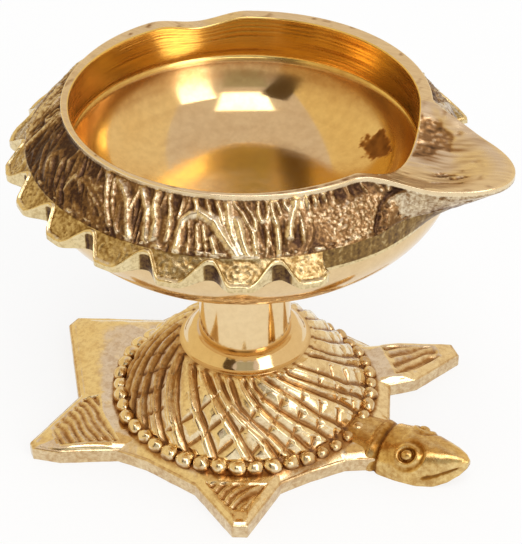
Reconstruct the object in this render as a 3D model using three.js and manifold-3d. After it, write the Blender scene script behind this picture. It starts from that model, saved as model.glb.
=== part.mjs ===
// Brass oil lamp: a spouted bowl on a short stem, standing on the back of a tortoise.
// Lengths are millimetres and angles are degrees. +Z is up and the spout points along +X. Every
// piece is built about the stem's axis, and the finished lamp is moved so that the origin is the
// middle of its footprint on the rest plane.
import * as THREE from 'three';
import { mergeVertices } from 'three/addons/utils/BufferGeometryUtils.js';
import Module from 'manifold-3d';

const wasm = await Module();
wasm.setup();

// Stack along the stem's axis
const crownHeight = 14.9;
const collarHeight = 2.4;
const stemLength = 14.2;
const bowlHeight = 29.6;

// Bowl: the cup
const cupRadius = 27;
const cupWallDepth = 8;
const cupUndercut = 0.4;
const dishStep = 0.5;
const dishFloorReach = 8;
const dishFloorSlope = 5;
const dishEdgeSlope = 74;
const dishCurl = 2;
const rimLand = 1.7;
const rimLandSwing = 0.9;
const backLand = 0.5;
const backLandAngle = 152;
const backLandHalfWidth = 40;
const dipDepth = 1.4;
const dipAngle = 134;
const dipHalfWidth = 17;

// Bowl: the outside
const undersideRadius = 33.1;
const undersideDepth = 16.7;
const undersideTop = 10.1;
const barkFootRadius = 34;
const barkFootDrop = 6.5;
const barkSwell = 0.4;
const keelBlend = 0.8;

// Bowl: the scalloped frill, which is carved into the foot of the slope
const frillRadius = 37.3;
const frillEdge = 0.5;
const scallops = 16;
const scallopDepth = 2.6;
const scallopFall = 0.54;
const scallopRise = 0.32;
const scallopFlat = 0.07;
const frillEndAngle = 42.5;
const firstNotchAngle = 53.5;

// Bowl: the spout
const spoutReach = 44.2;
const spoutHalfAngle = 28;
const lipDrop = 1.6;
const lipDropEnd = 0.6;
const lipEdge = 0.9;
const mouthHalfAngle = 26;
const mouthDepth = 4.1;
const mouthRound = 1.5;
const floorStart = 0.03;
const floorEnd = 0.7;

// Stem, collar and the fixing inside them
const stemTopRadius = 7.3;
const stemFootRadius = 7.85;
const collarRadius = 11.2;
const collarShoulder = 8.8;
const collarShoulderTop = 0.96;
const collarNeck = 10.45;
const collarFlareTop = 0.15;
const studRadius = 2.4;
const studClearance = 0.3;
const studEngagement = 4.6;
const studTail = 0.6;
const tappedDepth = 5.1;
const washerRadius = 5.4;
const washerThickness = 1;
const springWasherRadius = 4.4;
const springWasherThickness = 1.2;
const springWasherSplit = 0.8;
const nutAcrossFlats = 8;
const nutHeight = 3.6;

// Tortoise: the shell
const shellRadius = 20.9;
const shellFootHeight = 4.4;
const crownRadius = 11.6;
const shellSwell = 0.8;
const crownThickness = 2.6;
const shellWall = 2.3;
const hollowMouthRadius = 18.4;
const beadRingRadius = 21.8;
const beadRadius = 1.35;
const beadHeight = 4.1;
const beadFarDrop = 0.6;
const beads = 46;

// Tortoise: the flange, its limbs and its turn from the spout's axis
const flangeEdge = 2.5;
const flangeRoot = 3.5;
const limbCrown = 0.8;
const limbCrownStart = 2;
const limbCrownLength = 8;
const beadBedding = 0.75;
const tortoiseTurn = -2.5;

// Each limb's own angle from the tortoise's head, its reach and the width of its blunt tip,
// then the corners of the flange between it and the next limb.
const limbs = [
  {
    angle: 47.8,
    reach: 39.6,
    tip: 3.2,
    valley: [
      { angle: 54.8, radius: 32.6 },
      { angle: 59.5, radius: 26.1 },
      { angle: 85, radius: 24 },
      { angle: 105.6, radius: 26 },
    ],
  },
  { angle: 118.5, reach: 32.6, tip: 2.8, valley: [{ angle: 157.5, radius: 25.7 }] },
  { angle: 178.4, reach: 37.7, tip: 2.6, valley: [{ angle: 213.8, radius: 29.1 }] },
  {
    angle: 232.3,
    reach: 38.6,
    tip: 1.6,
    valley: [
      { angle: 238, radius: 34.9 },
      { angle: 246.9, radius: 26.4 },
      { angle: 258, radius: 24.3 },
      { angle: 281.9, radius: 25.3 },
    ],
  },
  {
    angle: 299.4,
    reach: 33.6,
    tip: 2.4,
    valley: [
      { angle: 314.7, radius: 24.3 },
      { angle: 328.6, radius: 23.4 },
      { angle: 343.3, radius: 24.6 },
    ],
  },
  {
    angle: 1,
    reach: 29,
    tip: 8,
    valley: [
      { angle: 14.3, radius: 25.8 },
      { angle: 34.2, radius: 25.5 },
      { angle: 36.4, radius: 30.4 },
    ],
  },
];

// The head's sections along the tortoise's centre line: half width, top and underside.
const headSections = [
  { along: 20, half: 5, top: 4.4, under: 0 },
  { along: 25, half: 5.5, top: 4.4, under: 0 },
  { along: 28, half: 5.5, top: 5, under: 0 },
  { along: 31.4, half: 5.5, top: 5.8, under: 0 },
  { along: 35, half: 5, top: 6, under: 0 },
  { along: 37.8, half: 3.9, top: 6, under: 0.2 },
  { along: 39.8, half: 2.8, top: 5.9, under: 1.2 },
  { along: 41.4, half: 1.6, top: 5.5, under: 2.6 },
  { along: 42.2, half: 0.6, top: 4.9, under: 3.6 },
];
const headTurn = 1.2;

// Fineness of the round stretches
const turnedSides = 48;
const hardwareSides = 24;
const spoutSteps = 12;
const flangeStep = 5;
const scallopSamples = [0.08, 0.3, 0.5, 0.72, 0.9];
const undersideArcs = 7;
const dishShoulderArcs = 6;
const dishCrowding = 1.5;
const hollowArcs = 3;
const shellArcs = 5;
const floorShares = [0.25, 0.5, 0.75];
const flangeShares = [0, 0.15, 0.4, 0.7, 1];
const beadSides = 8;
const beadRows = 4;
const headSides = 10;
const overshoot = 1;
const sliver = 0.2;
const weld = 1e-4;

// Levels and radii that follow from the sizes above
const collarTop = crownHeight + collarHeight;
const stemTop = collarTop + stemLength;
const rimHeight = stemTop + bowlHeight;
const undersideTopHeight = rimHeight - undersideTop;
const barkFootHeight = rimHeight - barkFootDrop;
const dishTop = rimHeight - cupWallDepth;
const dishRadius = cupRadius + cupUndercut - dishStep;
const boreRadius = studRadius + studClearance;
const crownUnderside = crownHeight - crownThickness;
const washerUnderside = crownUnderside - washerThickness;
const springWasherUnderside = washerUnderside - springWasherThickness;
const nutUnderside = springWasherUnderside - nutHeight;

const radians = THREE.MathUtils.degToRad;
const smoothstep = THREE.MathUtils.smoothstep;
const lerp = THREE.MathUtils.lerp;
const fullTurn = 360;

// Signed difference of two angles, from -180 to 180.
function angleFrom(angle, centre) {
  return THREE.MathUtils.euclideanModulo(angle - centre + fullTurn / 2, fullTurn) - fullTurn / 2;
}

// One for an angle on the centre of a bell, falling to none at its half width.
function bell(angle, centre, halfWidth) {
  const share = Math.min(Math.abs(angleFrom(angle, centre)) / halfWidth, 1);
  return Math.cos(share * Math.PI / 2) ** 2;
}

// Closed loft around the Z axis: one profile of radius and height for each angle, and every
// profile starts and ends on the axis.
function polarLoft(angles, profileAt) {
  const rings = angles.map((angle) => profileAt(angle));
  const rows = rings[0].length;
  const points = [];
  const faces = [];
  rings.forEach((profile, ring) => {
    const angle = radians(angles[ring]);
    profile.forEach(([radius, height]) => {
      points.push(radius * Math.cos(angle), radius * Math.sin(angle), height);
    });
  });
  rings.forEach((_, ring) => {
    const next = (ring + 1) % rings.length;
    for (let row = 0; row < rows - 1; row += 1) {
      const a = ring * rows + row;
      const b = next * rows + row;
      if (row > 0) faces.push(a, b, b + 1);
      if (row < rows - 2) faces.push(a, b + 1, a + 1);
    }
  });
  const geometry = new THREE.BufferGeometry();
  geometry.setAttribute('position', new THREE.Float32BufferAttribute(points, 3));
  geometry.setIndex(faces);
  return mergeVertices(geometry, weld);
}

// The closed mesh as a solid that can be joined and cut.
function solidOf(geometry) {
  const bare = geometry.clone();
  bare.deleteAttribute('normal');
  bare.deleteAttribute('uv');
  const welded = mergeVertices(bare, weld);
  return new wasm.Manifold(new wasm.Mesh({
    numProp: 3,
    vertProperties: new Float32Array(welded.attributes.position.array),
    triVerts: new Uint32Array(welded.index.array),
  }));
}

function geometryOf(solid) {
  const mesh = solid.getMesh();
  const geometry = new THREE.BufferGeometry();
  geometry.setAttribute('position', new THREE.BufferAttribute(mesh.vertProperties, 3));
  geometry.setIndex(new THREE.BufferAttribute(mesh.triVerts, 1));
  geometry.computeVertexNormals();
  return geometry;
}

// A cylinder on the Z axis from one level to another.
function post(radius, bottom, top, sides) {
  const geometry = new THREE.CylinderGeometry(radius, radius, top - bottom, sides);
  geometry.rotateX(Math.PI / 2);
  geometry.translate(0, 0, (top + bottom) / 2);
  return geometry;
}

// A turned piece with a bore: a closed profile of radius and height, spun about the Z axis.
function turned(profile, sides) {
  const closed = [...profile, profile[0]].map(([radius, height]) => new THREE.Vector2(radius, height));
  const geometry = new THREE.LatheGeometry(closed, sides);
  geometry.rotateX(Math.PI / 2);
  return geometry;
}

// The bowl's plan: how far the rim's outer edge lies from the axis, with the spout's leaf.
function spoutShare(angle) {
  return bell(angle, 0, spoutHalfAngle);
}

function lipRadius(angle) {
  const land = rimLand + rimLandSwing * Math.sin(radians(angle));
  const back = backLand * bell(angle, backLandAngle, backLandHalfWidth);
  return cupRadius + land + back + (spoutReach - cupRadius - rimLand) * spoutShare(angle);
}

function lipHeight(angle) {
  const dip = dipDepth * bell(angle, dipAngle, dipHalfWidth);
  return rimHeight - dip - lipDrop * smoothstep(spoutShare(angle), 0, lipDropEnd);
}

function cupEdgeHeight(angle) {
  const mouth = Math.max(1 - (angleFrom(angle, 0) / mouthHalfAngle) ** 2, 0) ** mouthRound;
  const dip = dipDepth * bell(angle, dipAngle, dipHalfWidth);
  return rimHeight - dip - mouthDepth * mouth;
}

// The outer wall at one level: a slope to the frill round the cup, a straight keel at the spout.
function wallRadius(angle, height) {
  const top = lipHeight(angle) - lipEdge;
  const rise = THREE.MathUtils.clamp((height - undersideTopHeight) / (top - undersideTopHeight), 0, 1);
  const keel = lerp(undersideRadius, lipRadius(angle), rise);
  const slopeRise = (height - barkFootHeight) / (top - barkFootHeight);
  const swell = barkSwell * Math.sin(Math.PI * THREE.MathUtils.clamp(slopeRise, 0, 1));
  const slope = lerp(barkFootRadius, lipRadius(angle), Math.max(slopeRise, 0)) + swell;
  return lerp(slope, keel, spoutShare(angle) ** keelBlend);
}

// The frill's top at one radius: its carved slope runs on from the foot of the wall.
function frillTopHeight(radius) {
  const share = (radius - barkFootRadius) / (frillRadius - barkFootRadius);
  return lerp(barkFootHeight, undersideTopHeight + frillEdge, share);
}

// The frill's edge is a running wave: each crest falls slowly to a notch and rises from it steeply.
function frillRadiusAt(angle) {
  const fromSpout = Math.abs(angleFrom(angle, 0));
  if (fromSpout < frillEndAngle) return null;
  const pitch = (fullTurn - 2 * firstNotchAngle) / scallops;
  const turn = ((angle - firstNotchAngle) / pitch) % 1;
  const phase = (turn + 1) % 1;
  const fall = smoothstep(phase, scallopFall, 1 - scallopFlat);
  const rise = 1 - smoothstep(phase, scallopFlat, scallopRise);
  return frillRadius - scallopDepth * Math.max(fall, rise);
}

// Slope of the dish: shallow over the floor, then curling up ever faster to its edge.
function dishSlope(radius) {
  const floor = Math.sin(radians(dishFloorSlope));
  if (radius < dishFloorReach) {
    return Math.asin(floor * radius / dishFloorReach);
  }
  const share = (radius - dishFloorReach) / (dishRadius - dishFloorReach);
  return Math.asin(lerp(floor, Math.sin(radians(dishEdgeSlope)), share ** dishCurl));
}

// The dish from its edge to its middle.
function dishProfile() {
  const radii = [dishRadius];
  for (let step = 1; step <= dishShoulderArcs; step += 1) {
    const share = 1 - (step / dishShoulderArcs) ** dishCrowding;
    radii.push(lerp(dishFloorReach, dishRadius, share));
  }
  radii.push(dishFloorReach / 2, 0);
  const points = [[dishRadius, dishTop]];
  let height = dishTop;
  for (let index = 1; index < radii.length; index += 1) {
    const run = radii[index - 1] - radii[index];
    height -= run * Math.tan(dishSlope(radii[index] + run / 2));
    points.push([radii[index], height]);
  }
  return points;
}

function bowlProfile(angle) {
  const frill = frillRadiusAt(angle);
  const frillFoot = frill ?? wallRadius(angle, undersideTopHeight);
  const edgeTop = frill ? frillTopHeight(frill) : undersideTopHeight + frillEdge;
  const profile = [];
  for (let step = 0; step <= undersideArcs; step += 1) {
    const turn = step / undersideArcs * Math.PI / 2;
    const drop = undersideDepth * Math.cos(turn);
    profile.push([undersideRadius * Math.sin(turn), undersideTopHeight - drop]);
  }
  profile[undersideArcs][0] = Math.min(undersideRadius, frillFoot - sliver);
  profile.push([frillFoot, undersideTopHeight]);
  profile.push([frill ?? wallRadius(angle, edgeTop), edgeTop]);
  profile.push([wallRadius(angle, barkFootHeight), barkFootHeight]);
  const lip = lipRadius(angle);
  const lipLevel = lipHeight(angle);
  const middle = (barkFootHeight + lipLevel) / 2;
  profile.push([wallRadius(angle, middle), middle]);
  profile.push([lip, lipLevel - lipEdge]);
  profile.push([lip, lipLevel]);
  const cupEdge = cupEdgeHeight(angle);
  for (const share of floorShares) {
    const floor = lerp(lipLevel, cupEdge, smoothstep(share, floorStart, floorEnd));
    profile.push([lerp(lip, cupRadius, share), floor]);
  }
  profile.push([cupRadius, cupEdge]);
  profile.push([cupRadius + cupUndercut, dishTop + dishStep]);
  profile.push(...dishProfile());
  return profile;
}

// Angles of the bowl's loft: even steps at the spout, and steps that follow each scallop.
function bowlAngles() {
  const angles = [];
  const pitch = (fullTurn - 2 * firstNotchAngle) / scallops;
  const half = frillEndAngle;
  for (let step = -spoutSteps; step <= spoutSteps; step += 1) {
    angles.push(step / spoutSteps * (half - sliver));
  }
  angles.push(half + sliver);
  for (let notch = -1; notch <= scallops; notch += 1) {
    for (const share of scallopSamples) {
      const angle = firstNotchAngle + (notch + share) * pitch;
      if (angle > half + 1 && angle < fullTurn - half - 1) angles.push(angle);
    }
  }
  angles.push(fullTurn - half - sliver);
  return angles;
}

function oilBowl() {
  const shell = solidOf(polarLoft(bowlAngles(), bowlProfile));
  const bossTop = undersideTopHeight - undersideDepth + overshoot;
  const boss = solidOf(post(stemTopRadius, stemTop, bossTop, turnedSides));
  const tapped = post(boreRadius, stemTop - overshoot, stemTop + tappedDepth, hardwareSides);
  return geometryOf(shell.add(boss).subtract(solidOf(tapped)));
}

function stemSleeve() {
  return turned([
    [boreRadius, collarTop],
    [stemFootRadius, collarTop],
    [stemTopRadius, stemTop],
    [boreRadius, stemTop],
  ], turnedSides);
}

function collarRing() {
  return turned([
    [boreRadius, crownHeight],
    [collarRadius, crownHeight],
    [collarNeck, crownHeight + collarHeight * collarFlareTop],
    [collarShoulder, crownHeight + collarHeight * collarShoulderTop],
    [stemFootRadius, collarTop],
    [boreRadius, collarTop],
  ], turnedSides);
}

// Corners of the flange, in order round the tortoise: two for each blunt tip, then its valley.
function flangeCorners() {
  return limbs.flatMap(({ angle, reach, tip, valley }) => {
    const half = THREE.MathUtils.radToDeg(Math.atan(tip / 2 / reach));
    return [{ angle: angle - half, radius: reach }, { angle: angle + half, radius: reach }, ...valley];
  });
}

// How far the flange reaches at an angle: its edge is straight from corner to corner.
function flangeRadius(corners, angle) {
  for (let index = 0; index < corners.length; index += 1) {
    const start = corners[index];
    const end = corners[(index + 1) % corners.length];
    const span = radians(angleFrom(end.angle, start.angle));
    const turn = radians(angleFrom(angle, start.angle));
    if (turn >= 0 && turn < span) {
      const across = start.radius * Math.sin(turn) + end.radius * Math.sin(span - turn);
      return start.radius * end.radius * Math.sin(span) / across;
    }
  }
  return shellRadius;
}

// Angles of the tortoise's loft: every corner of the flange, with even steps between them.
function tortoiseAngles(corners) {
  const angles = [];
  corners.forEach(({ angle }, index) => {
    const span = angleFrom(corners[(index + 1) % corners.length].angle, angle);
    const steps = Math.ceil(span / flangeStep);
    for (let step = 0; step < steps; step += 1) angles.push(angle + span * step / steps);
  });
  return angles;
}

// A bulging arc of the shell from its foot to its crown, as radius and height.
function shellArc(footRadius, footHeight, topRadius, topHeight, swell, steps) {
  const points = [];
  const run = new THREE.Vector2(topRadius - footRadius, topHeight - footHeight);
  const out = new THREE.Vector2(run.y, -run.x).normalize();
  for (let step = 0; step <= steps; step += 1) {
    const share = step / steps;
    const bulge = swell * 4 * share * (1 - share);
    points.push([footRadius + run.x * share + out.x * bulge, footHeight + run.y * share + out.y * bulge]);
  }
  return points;
}

function tortoiseProfile(reach) {
  const hollow = shellArc(
    hollowMouthRadius, shellFootHeight - shellWall / 2,
    crownRadius - shellWall / 2, crownUnderside, shellSwell, hollowArcs,
  ).reverse();
  const profile = [[0, crownUnderside], ...hollow, [hollowMouthRadius, 0], [reach, 0]];
  const inner = beadRingRadius + beadRadius * beadBedding;
  const limbShare = THREE.MathUtils.clamp((reach - inner - limbCrownStart) / limbCrownLength, 0, 1);
  for (const share of flangeShares) {
    const crown = limbCrown * limbShare * Math.sin(Math.PI * share);
    profile.push([lerp(reach, inner, share), lerp(flangeEdge, flangeRoot, share) + crown]);
  }
  profile.push(...shellArc(shellRadius, shellFootHeight, crownRadius, crownHeight, shellSwell, shellArcs));
  profile.push([0, crownHeight]);
  return profile;
}

// The head with its neck: a half-round bar through the sections, flat below and closed at both ends.
function head() {
  const points = [];
  const faces = [];
  const around = headSides + 1;
  headSections.forEach(({ along, half, top, under }) => {
    for (let step = 0; step < around; step += 1) {
      const angle = step / headSides * Math.PI;
      points.push(along, half * Math.cos(angle), lerp(under, top, Math.sin(angle)));
    }
  });
  const last = (headSections.length - 1) * around;
  for (let start = 0; start < last; start += around) {
    for (let step = 0; step < around; step += 1) {
      const next = (step + 1) % around;
      faces.push(start + step, start + next, start + around + step);
      faces.push(start + next, start + around + next, start + around + step);
    }
  }
  for (let step = 1; step < headSides; step += 1) {
    faces.push(0, step + 1, step);
    faces.push(last, last + step, last + step + 1);
  }
  const geometry = new THREE.BufferGeometry();
  geometry.setAttribute('position', new THREE.Float32BufferAttribute(points, 3));
  geometry.setIndex(faces);
  geometry.rotateZ(radians(headTurn));
  return solidOf(geometry);
}

function tortoiseBase() {
  const corners = flangeCorners();
  const loft = polarLoft(tortoiseAngles(corners), (angle) => tortoiseProfile(flangeRadius(corners, angle)));
  let solid = solidOf(loft);
  for (let bead = 0; bead < beads; bead += 1) {
    const angle = bead / beads * Math.PI * 2;
    const ball = new THREE.SphereGeometry(beadRadius, beadSides, beadRows);
    ball.rotateX(Math.PI / 2);
    const level = beadHeight - beadFarDrop * Math.max(Math.sin(angle), 0);
    ball.translate(beadRingRadius * Math.cos(angle), beadRingRadius * Math.sin(angle), level);
    solid = solid.add(solidOf(ball));
  }
  solid = solid.add(head());
  const bore = post(boreRadius, crownUnderside - overshoot, crownHeight + overshoot, hardwareSides);
  const geometry = geometryOf(solid.subtract(solidOf(bore)));
  geometry.rotateZ(radians(tortoiseTurn));
  return geometry;
}

function tieStud() {
  return post(studRadius, nutUnderside - studTail, stemTop + studEngagement, hardwareSides);
}

function flatWasher() {
  return turned([
    [boreRadius, washerUnderside],
    [washerRadius, washerUnderside],
    [washerRadius, crownUnderside],
    [boreRadius, crownUnderside],
  ], hardwareSides);
}

// A split ring: the gap is what lets it spring.
function springWasher() {
  const ring = turned([
    [boreRadius, springWasherUnderside],
    [springWasherRadius, springWasherUnderside],
    [springWasherRadius, washerUnderside],
    [boreRadius, washerUnderside],
  ], hardwareSides);
  const reach = springWasherRadius + overshoot;
  const split = new THREE.BoxGeometry(reach, springWasherSplit, springWasherThickness * 3);
  split.translate(reach / 2, 0, washerUnderside);
  return geometryOf(solidOf(ring).subtract(solidOf(split)));
}

function hexNut() {
  const across = nutAcrossFlats / 2 / Math.cos(Math.PI / 6);
  const body = solidOf(post(across, nutUnderside, springWasherUnderside, 6));
  const hole = post(boreRadius, nutUnderside - overshoot, springWasherUnderside + overshoot, hardwareSides);
  return geometryOf(body.subtract(solidOf(hole)));
}

// Finishes, as they look on the lamp
const castBrass = { color: 0xb48a45, roughness: 0.42, metalness: 1 };
const turnedBrass = { color: 0xd9b36c, roughness: 0.14, metalness: 1 };
const drawnBrass = { color: 0xc9a25a, roughness: 0.35, metalness: 1 };
const platedSteel = { color: 0xb9bab5, roughness: 0.4, metalness: 1 };

function piece(name, geometry, finish) {
  const mesh = new THREE.Mesh(geometry, new THREE.MeshStandardMaterial(finish));
  mesh.name = name;
  return mesh;
}

const lamp = new THREE.Group();
lamp.add(
  piece('oil_bowl', oilBowl(), castBrass),
  piece('stem_sleeve', stemSleeve(), turnedBrass),
  piece('collar_ring', collarRing(), turnedBrass),
  piece('tortoise_base', tortoiseBase(), castBrass),
  piece('tie_stud', tieStud(), drawnBrass),
  piece('flat_washer', flatWasher(), drawnBrass),
  piece('spring_washer', springWasher(), platedSteel),
  piece('hex_nut', hexNut(), drawnBrass),
);

const middle = new THREE.Box3().setFromObject(lamp).getCenter(new THREE.Vector3());
lamp.children.forEach(({ geometry }) => geometry.translate(-middle.x, -middle.y, 0));

export default lamp;
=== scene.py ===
import math

import bmesh
import bpy
import numpy as np
from mathutils import Euler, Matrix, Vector


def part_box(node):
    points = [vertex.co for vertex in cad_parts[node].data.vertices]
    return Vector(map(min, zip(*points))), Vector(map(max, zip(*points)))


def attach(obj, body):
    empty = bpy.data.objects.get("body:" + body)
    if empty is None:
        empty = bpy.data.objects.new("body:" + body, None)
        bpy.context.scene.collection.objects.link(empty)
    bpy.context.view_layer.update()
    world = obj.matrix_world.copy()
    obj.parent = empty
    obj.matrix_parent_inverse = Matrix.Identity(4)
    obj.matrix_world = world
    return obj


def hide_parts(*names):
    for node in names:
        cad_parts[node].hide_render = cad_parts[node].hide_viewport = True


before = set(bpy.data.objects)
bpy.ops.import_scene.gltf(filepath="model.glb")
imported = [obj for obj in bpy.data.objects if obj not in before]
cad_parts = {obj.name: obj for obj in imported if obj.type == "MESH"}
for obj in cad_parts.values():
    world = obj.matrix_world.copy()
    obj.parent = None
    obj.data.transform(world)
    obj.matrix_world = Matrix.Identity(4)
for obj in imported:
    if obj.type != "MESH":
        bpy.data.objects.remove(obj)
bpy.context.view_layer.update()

mm = 0.001
fullTurn = 360.0

# Levels and the stem's axis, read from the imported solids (mm)
sleeveLow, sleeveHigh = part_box("stem_sleeve")
axisPlace = Vector(((sleeveLow.x + sleeveHigh.x) / 2, (sleeveLow.y + sleeveHigh.y) / 2, 0))
collarTop = sleeveLow.z / mm
stemTop = sleeveHigh.z / mm
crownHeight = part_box("tortoise_base")[1].z / mm
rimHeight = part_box("oil_bowl")[1].z / mm
boreRadius = 2.7
print("frame read, stem axis at", [round(v / mm, 3) for v in axisPlace])


def angleFrom(angle, centre):
    return (angle - centre + fullTurn / 2) % fullTurn - fullTurn / 2


def smooth(value, low, high):
    share = np.clip((value - low) / (high - low), 0, 1)
    return share * share * (3 - 2 * share)


def bell(angle, centre, halfWidth):
    return np.cos(np.minimum(np.abs(angleFrom(angle, centre)) / halfWidth, 1) * math.pi / 2) ** 2


def lerp(a, b, share):
    return a + (b - a) * share


def hashed(cell, seed):
    n = cell[..., 0] * 374761393 + cell[..., 1] * 668265263 + cell[..., 2] * 2246822519 + seed * 3266489917
    n = (n ^ (n >> 13)) * 1274126177
    n = n & 0xffffffff
    return ((n ^ (n >> 16)) & 0xffff) / 65535.0


# soft lumps from 0 to 1, one lump about every sizeMm
def lumps(place, sizeMm, seed=1):
    scaled = place / sizeMm
    cell = np.floor(scaled).astype(np.int64)
    part = scaled - cell
    part = part * part * (3 - 2 * part)
    total = 0
    for dx in (0, 1):
        for dy in (0, 1):
            for dz in (0, 1):
                corner = hashed(cell + np.array([dx, dy, dz]), seed)
                wx = part[..., 0] if dx else 1 - part[..., 0]
                wy = part[..., 1] if dy else 1 - part[..., 1]
                wz = part[..., 2] if dz else 1 - part[..., 2]
                total = total + corner * wx * wy * wz
    return total


# the same lumps as a push to either side, from -0.5 to 0.5
def uneven(place, sizeMm, seed=1):
    return lumps(place, sizeMm, seed) - 0.5


# one on a line, falling to none at the half width
def hump(distance, half):
    return np.clip(1 - (distance / half) ** 2, 0, 1)


# the same, but fading out softly at its sides
def softHump(distance, half):
    return np.exp(-(distance / half) ** 2)


# distance to the nearest grain, in grains
def grains(place, sizeMm, seed=1):
    scaled = place / sizeMm
    cell = np.floor(scaled).astype(np.int64)
    best = np.full(scaled.shape[:-1], 9.0)
    for dx in (-1, 0, 1):
        for dy in (-1, 0, 1):
            for dz in (-1, 0, 1):
                near = cell + np.array([dx, dy, dz])
                spot = np.stack([near[..., k] + hashed(near, seed + k) for k in range(3)], -1)
                best = np.minimum(best, np.linalg.norm(scaled - spot, axis=-1))
    return best


# distance in mm from points (across, along) to a line through the given points
def lineDistance(across, along, points):
    best = np.full(across.shape, 99.0)
    for (x0, y0), (x1, y1) in zip(points[:-1], points[1:]):
        dx, dy = x1 - x0, y1 - y0
        share = np.clip(((across - x0) * dx + (along - y0) * dy) / (dx * dx + dy * dy + 1e-9), 0, 1)
        best = np.minimum(best, np.hypot(across - x0 - share * dx, along - y0 - share * dy))
    return best


def gridNormals(grid, wrapRows=False):
    if wrapRows:
        down = np.roll(grid, -1, 0) - np.roll(grid, 1, 0)
    else:
        down = np.gradient(grid, axis=0)
    around = np.roll(grid, -1, 1) - np.roll(grid, 1, 1)
    normal = np.cross(around, down)
    size = np.linalg.norm(normal, axis=-1, keepdims=True)
    return normal / np.maximum(size, 1e-9)


# the normals, turned so that the one at the given place faces the given way
def outward(normal, place, way):
    return -normal if normal[place] @ np.array(way) < 0 else normal


# a closed mesh from rows of points round the axis (mm); each row may have its material's number
def gridPiece(name, grid, patinaAndShade, materials, sharp, wrapRows=False, turn=0.0, rowMaterial=None):
    rows, columns = grid.shape[:2]
    rowMaterial = rowMaterial or [0] * rows
    points = grid.reshape(-1, 3)
    marks = patinaAndShade.reshape(-1)
    last = rows if wrapRows else rows - 1
    row, column = np.meshgrid(np.arange(last), np.arange(columns), indexing="ij")
    nextColumn = (column + 1) % columns
    nextRow = (row + 1) % rows
    quads = np.stack([row * columns + column, row * columns + nextColumn,
                      nextRow * columns + nextColumn, nextRow * columns + column], -1).reshape(-1, 4)
    faces = quads.tolist()
    slots = np.repeat(np.array(rowMaterial[:last]), columns).tolist()
    if not wrapRows:
        for ring, flip in ((0, True), (rows - 1, False)):
            centre = len(points)
            points = np.vstack([points, grid[ring].mean(0)])
            marks = np.append(marks, patinaAndShade[ring].mean())
            edge = ring * columns + np.arange(columns)
            ahead = np.roll(edge, -1)
            for a, b in zip(edge.tolist(), ahead.tolist()):
                faces.append((b, a, centre) if flip else (a, b, centre))
                slots.append(rowMaterial[ring if flip else last - 1])
    return meshPiece(name, points, faces, marks, materials, slots, sharp, turn)


# sharp is the angle (degrees) from which an edge isn't smoothed, turn how far the piece is turned
def meshPiece(name, points, faces, marks, materials, slots, sharp, turn):
    angle = math.radians(turn)
    x, y = points[:, 0].copy(), points[:, 1].copy()
    placed = np.stack([x * math.cos(angle) - y * math.sin(angle), x * math.sin(angle) + y * math.cos(angle),
                       points[:, 2]], -1) * mm + np.array(axisPlace)
    mesh = bpy.data.meshes.new(name)
    mesh.from_pydata(placed.tolist(), [], faces)
    mesh.update()
    mark = mesh.attributes.new("patinaAndShade", "FLOAT", "POINT")
    mark.data.foreach_set("value", np.clip(marks, 0, 1).astype(np.float32))
    for material in materials:
        mesh.materials.append(material)
    if slots is not None:
        mesh.polygons.foreach_set("material_index", slots)
    mesh.polygons.foreach_set("use_smooth", [True] * len(mesh.polygons))
    mesh.set_sharp_from_angle(angle=math.radians(sharp))
    piece = bpy.data.objects.new(name, mesh)
    intoScene(piece)
    return piece


# what the frame is told of each piece: the imported node it stands for, which is hidden, and that it
# rides on the one body
def handOver(piece, node):
    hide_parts(node)
    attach(piece, "root")


def intoScene(thing):
    bpy.context.scene.collection.objects.link(thing)


def anglesRound(columns, start=0.0):
    return np.arange(columns) * fullTurn / columns + start


# a radius and height at each angle, turned into points round the axis
def spun(radius, height, angles):
    turn = np.radians(angles)
    return np.stack([radius * np.cos(turn), radius * np.sin(turn), height], -1)


# an empty list of rows and the call that adds one: its band, its radius and height at each angle,
# and its share of the way across the band
def rowList(a):
    rows = []

    def row(band, radius, height, share=0.0):
        rows.append((band, radius + 0 * a, height + 0 * a, share))
    return rows, row


# what the rows come to: their bands, shares and points, and which rows are each band's own
def gridOf(rows, a):
    bands = [r[0] for r in rows]
    own = {name: np.array([band == name for band in bands]) for name in set(bands)}
    return bands, np.array([r[3] for r in rows]), np.stack([spun(r[1], r[2], a) for r in rows]), own


def linear(hexColour):
    channels = [int(hexColour[i:i + 2], 16) / 255 for i in (1, 3, 5)]
    return tuple(c / 12.92 if c <= 0.04045 else ((c + 0.055) / 1.055) ** 2.4 for c in channels) + (1.0,)


def addNode(tree, kind, settings=None, links=None):
    node = tree.nodes.new(kind)
    for key, value in (settings or {}).items():
        if isinstance(key, int) or key in node.inputs:
            node.inputs[key].default_value = value
        else:
            setattr(node, key, value)
    for key, socket in (links or {}).items():
        tree.links.new(socket, node.inputs[key])
    return node


# an empty node tree for a material or a world
def emptyTree(owner):
    owner.use_nodes = True
    owner.node_tree.nodes.clear()
    return owner.node_tree


# What the finishes share, unless one says otherwise
plainLook = {"stretch": (1.0, 1.0, 1.0), "dull": 0.5, "smudge": 0.1}
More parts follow.
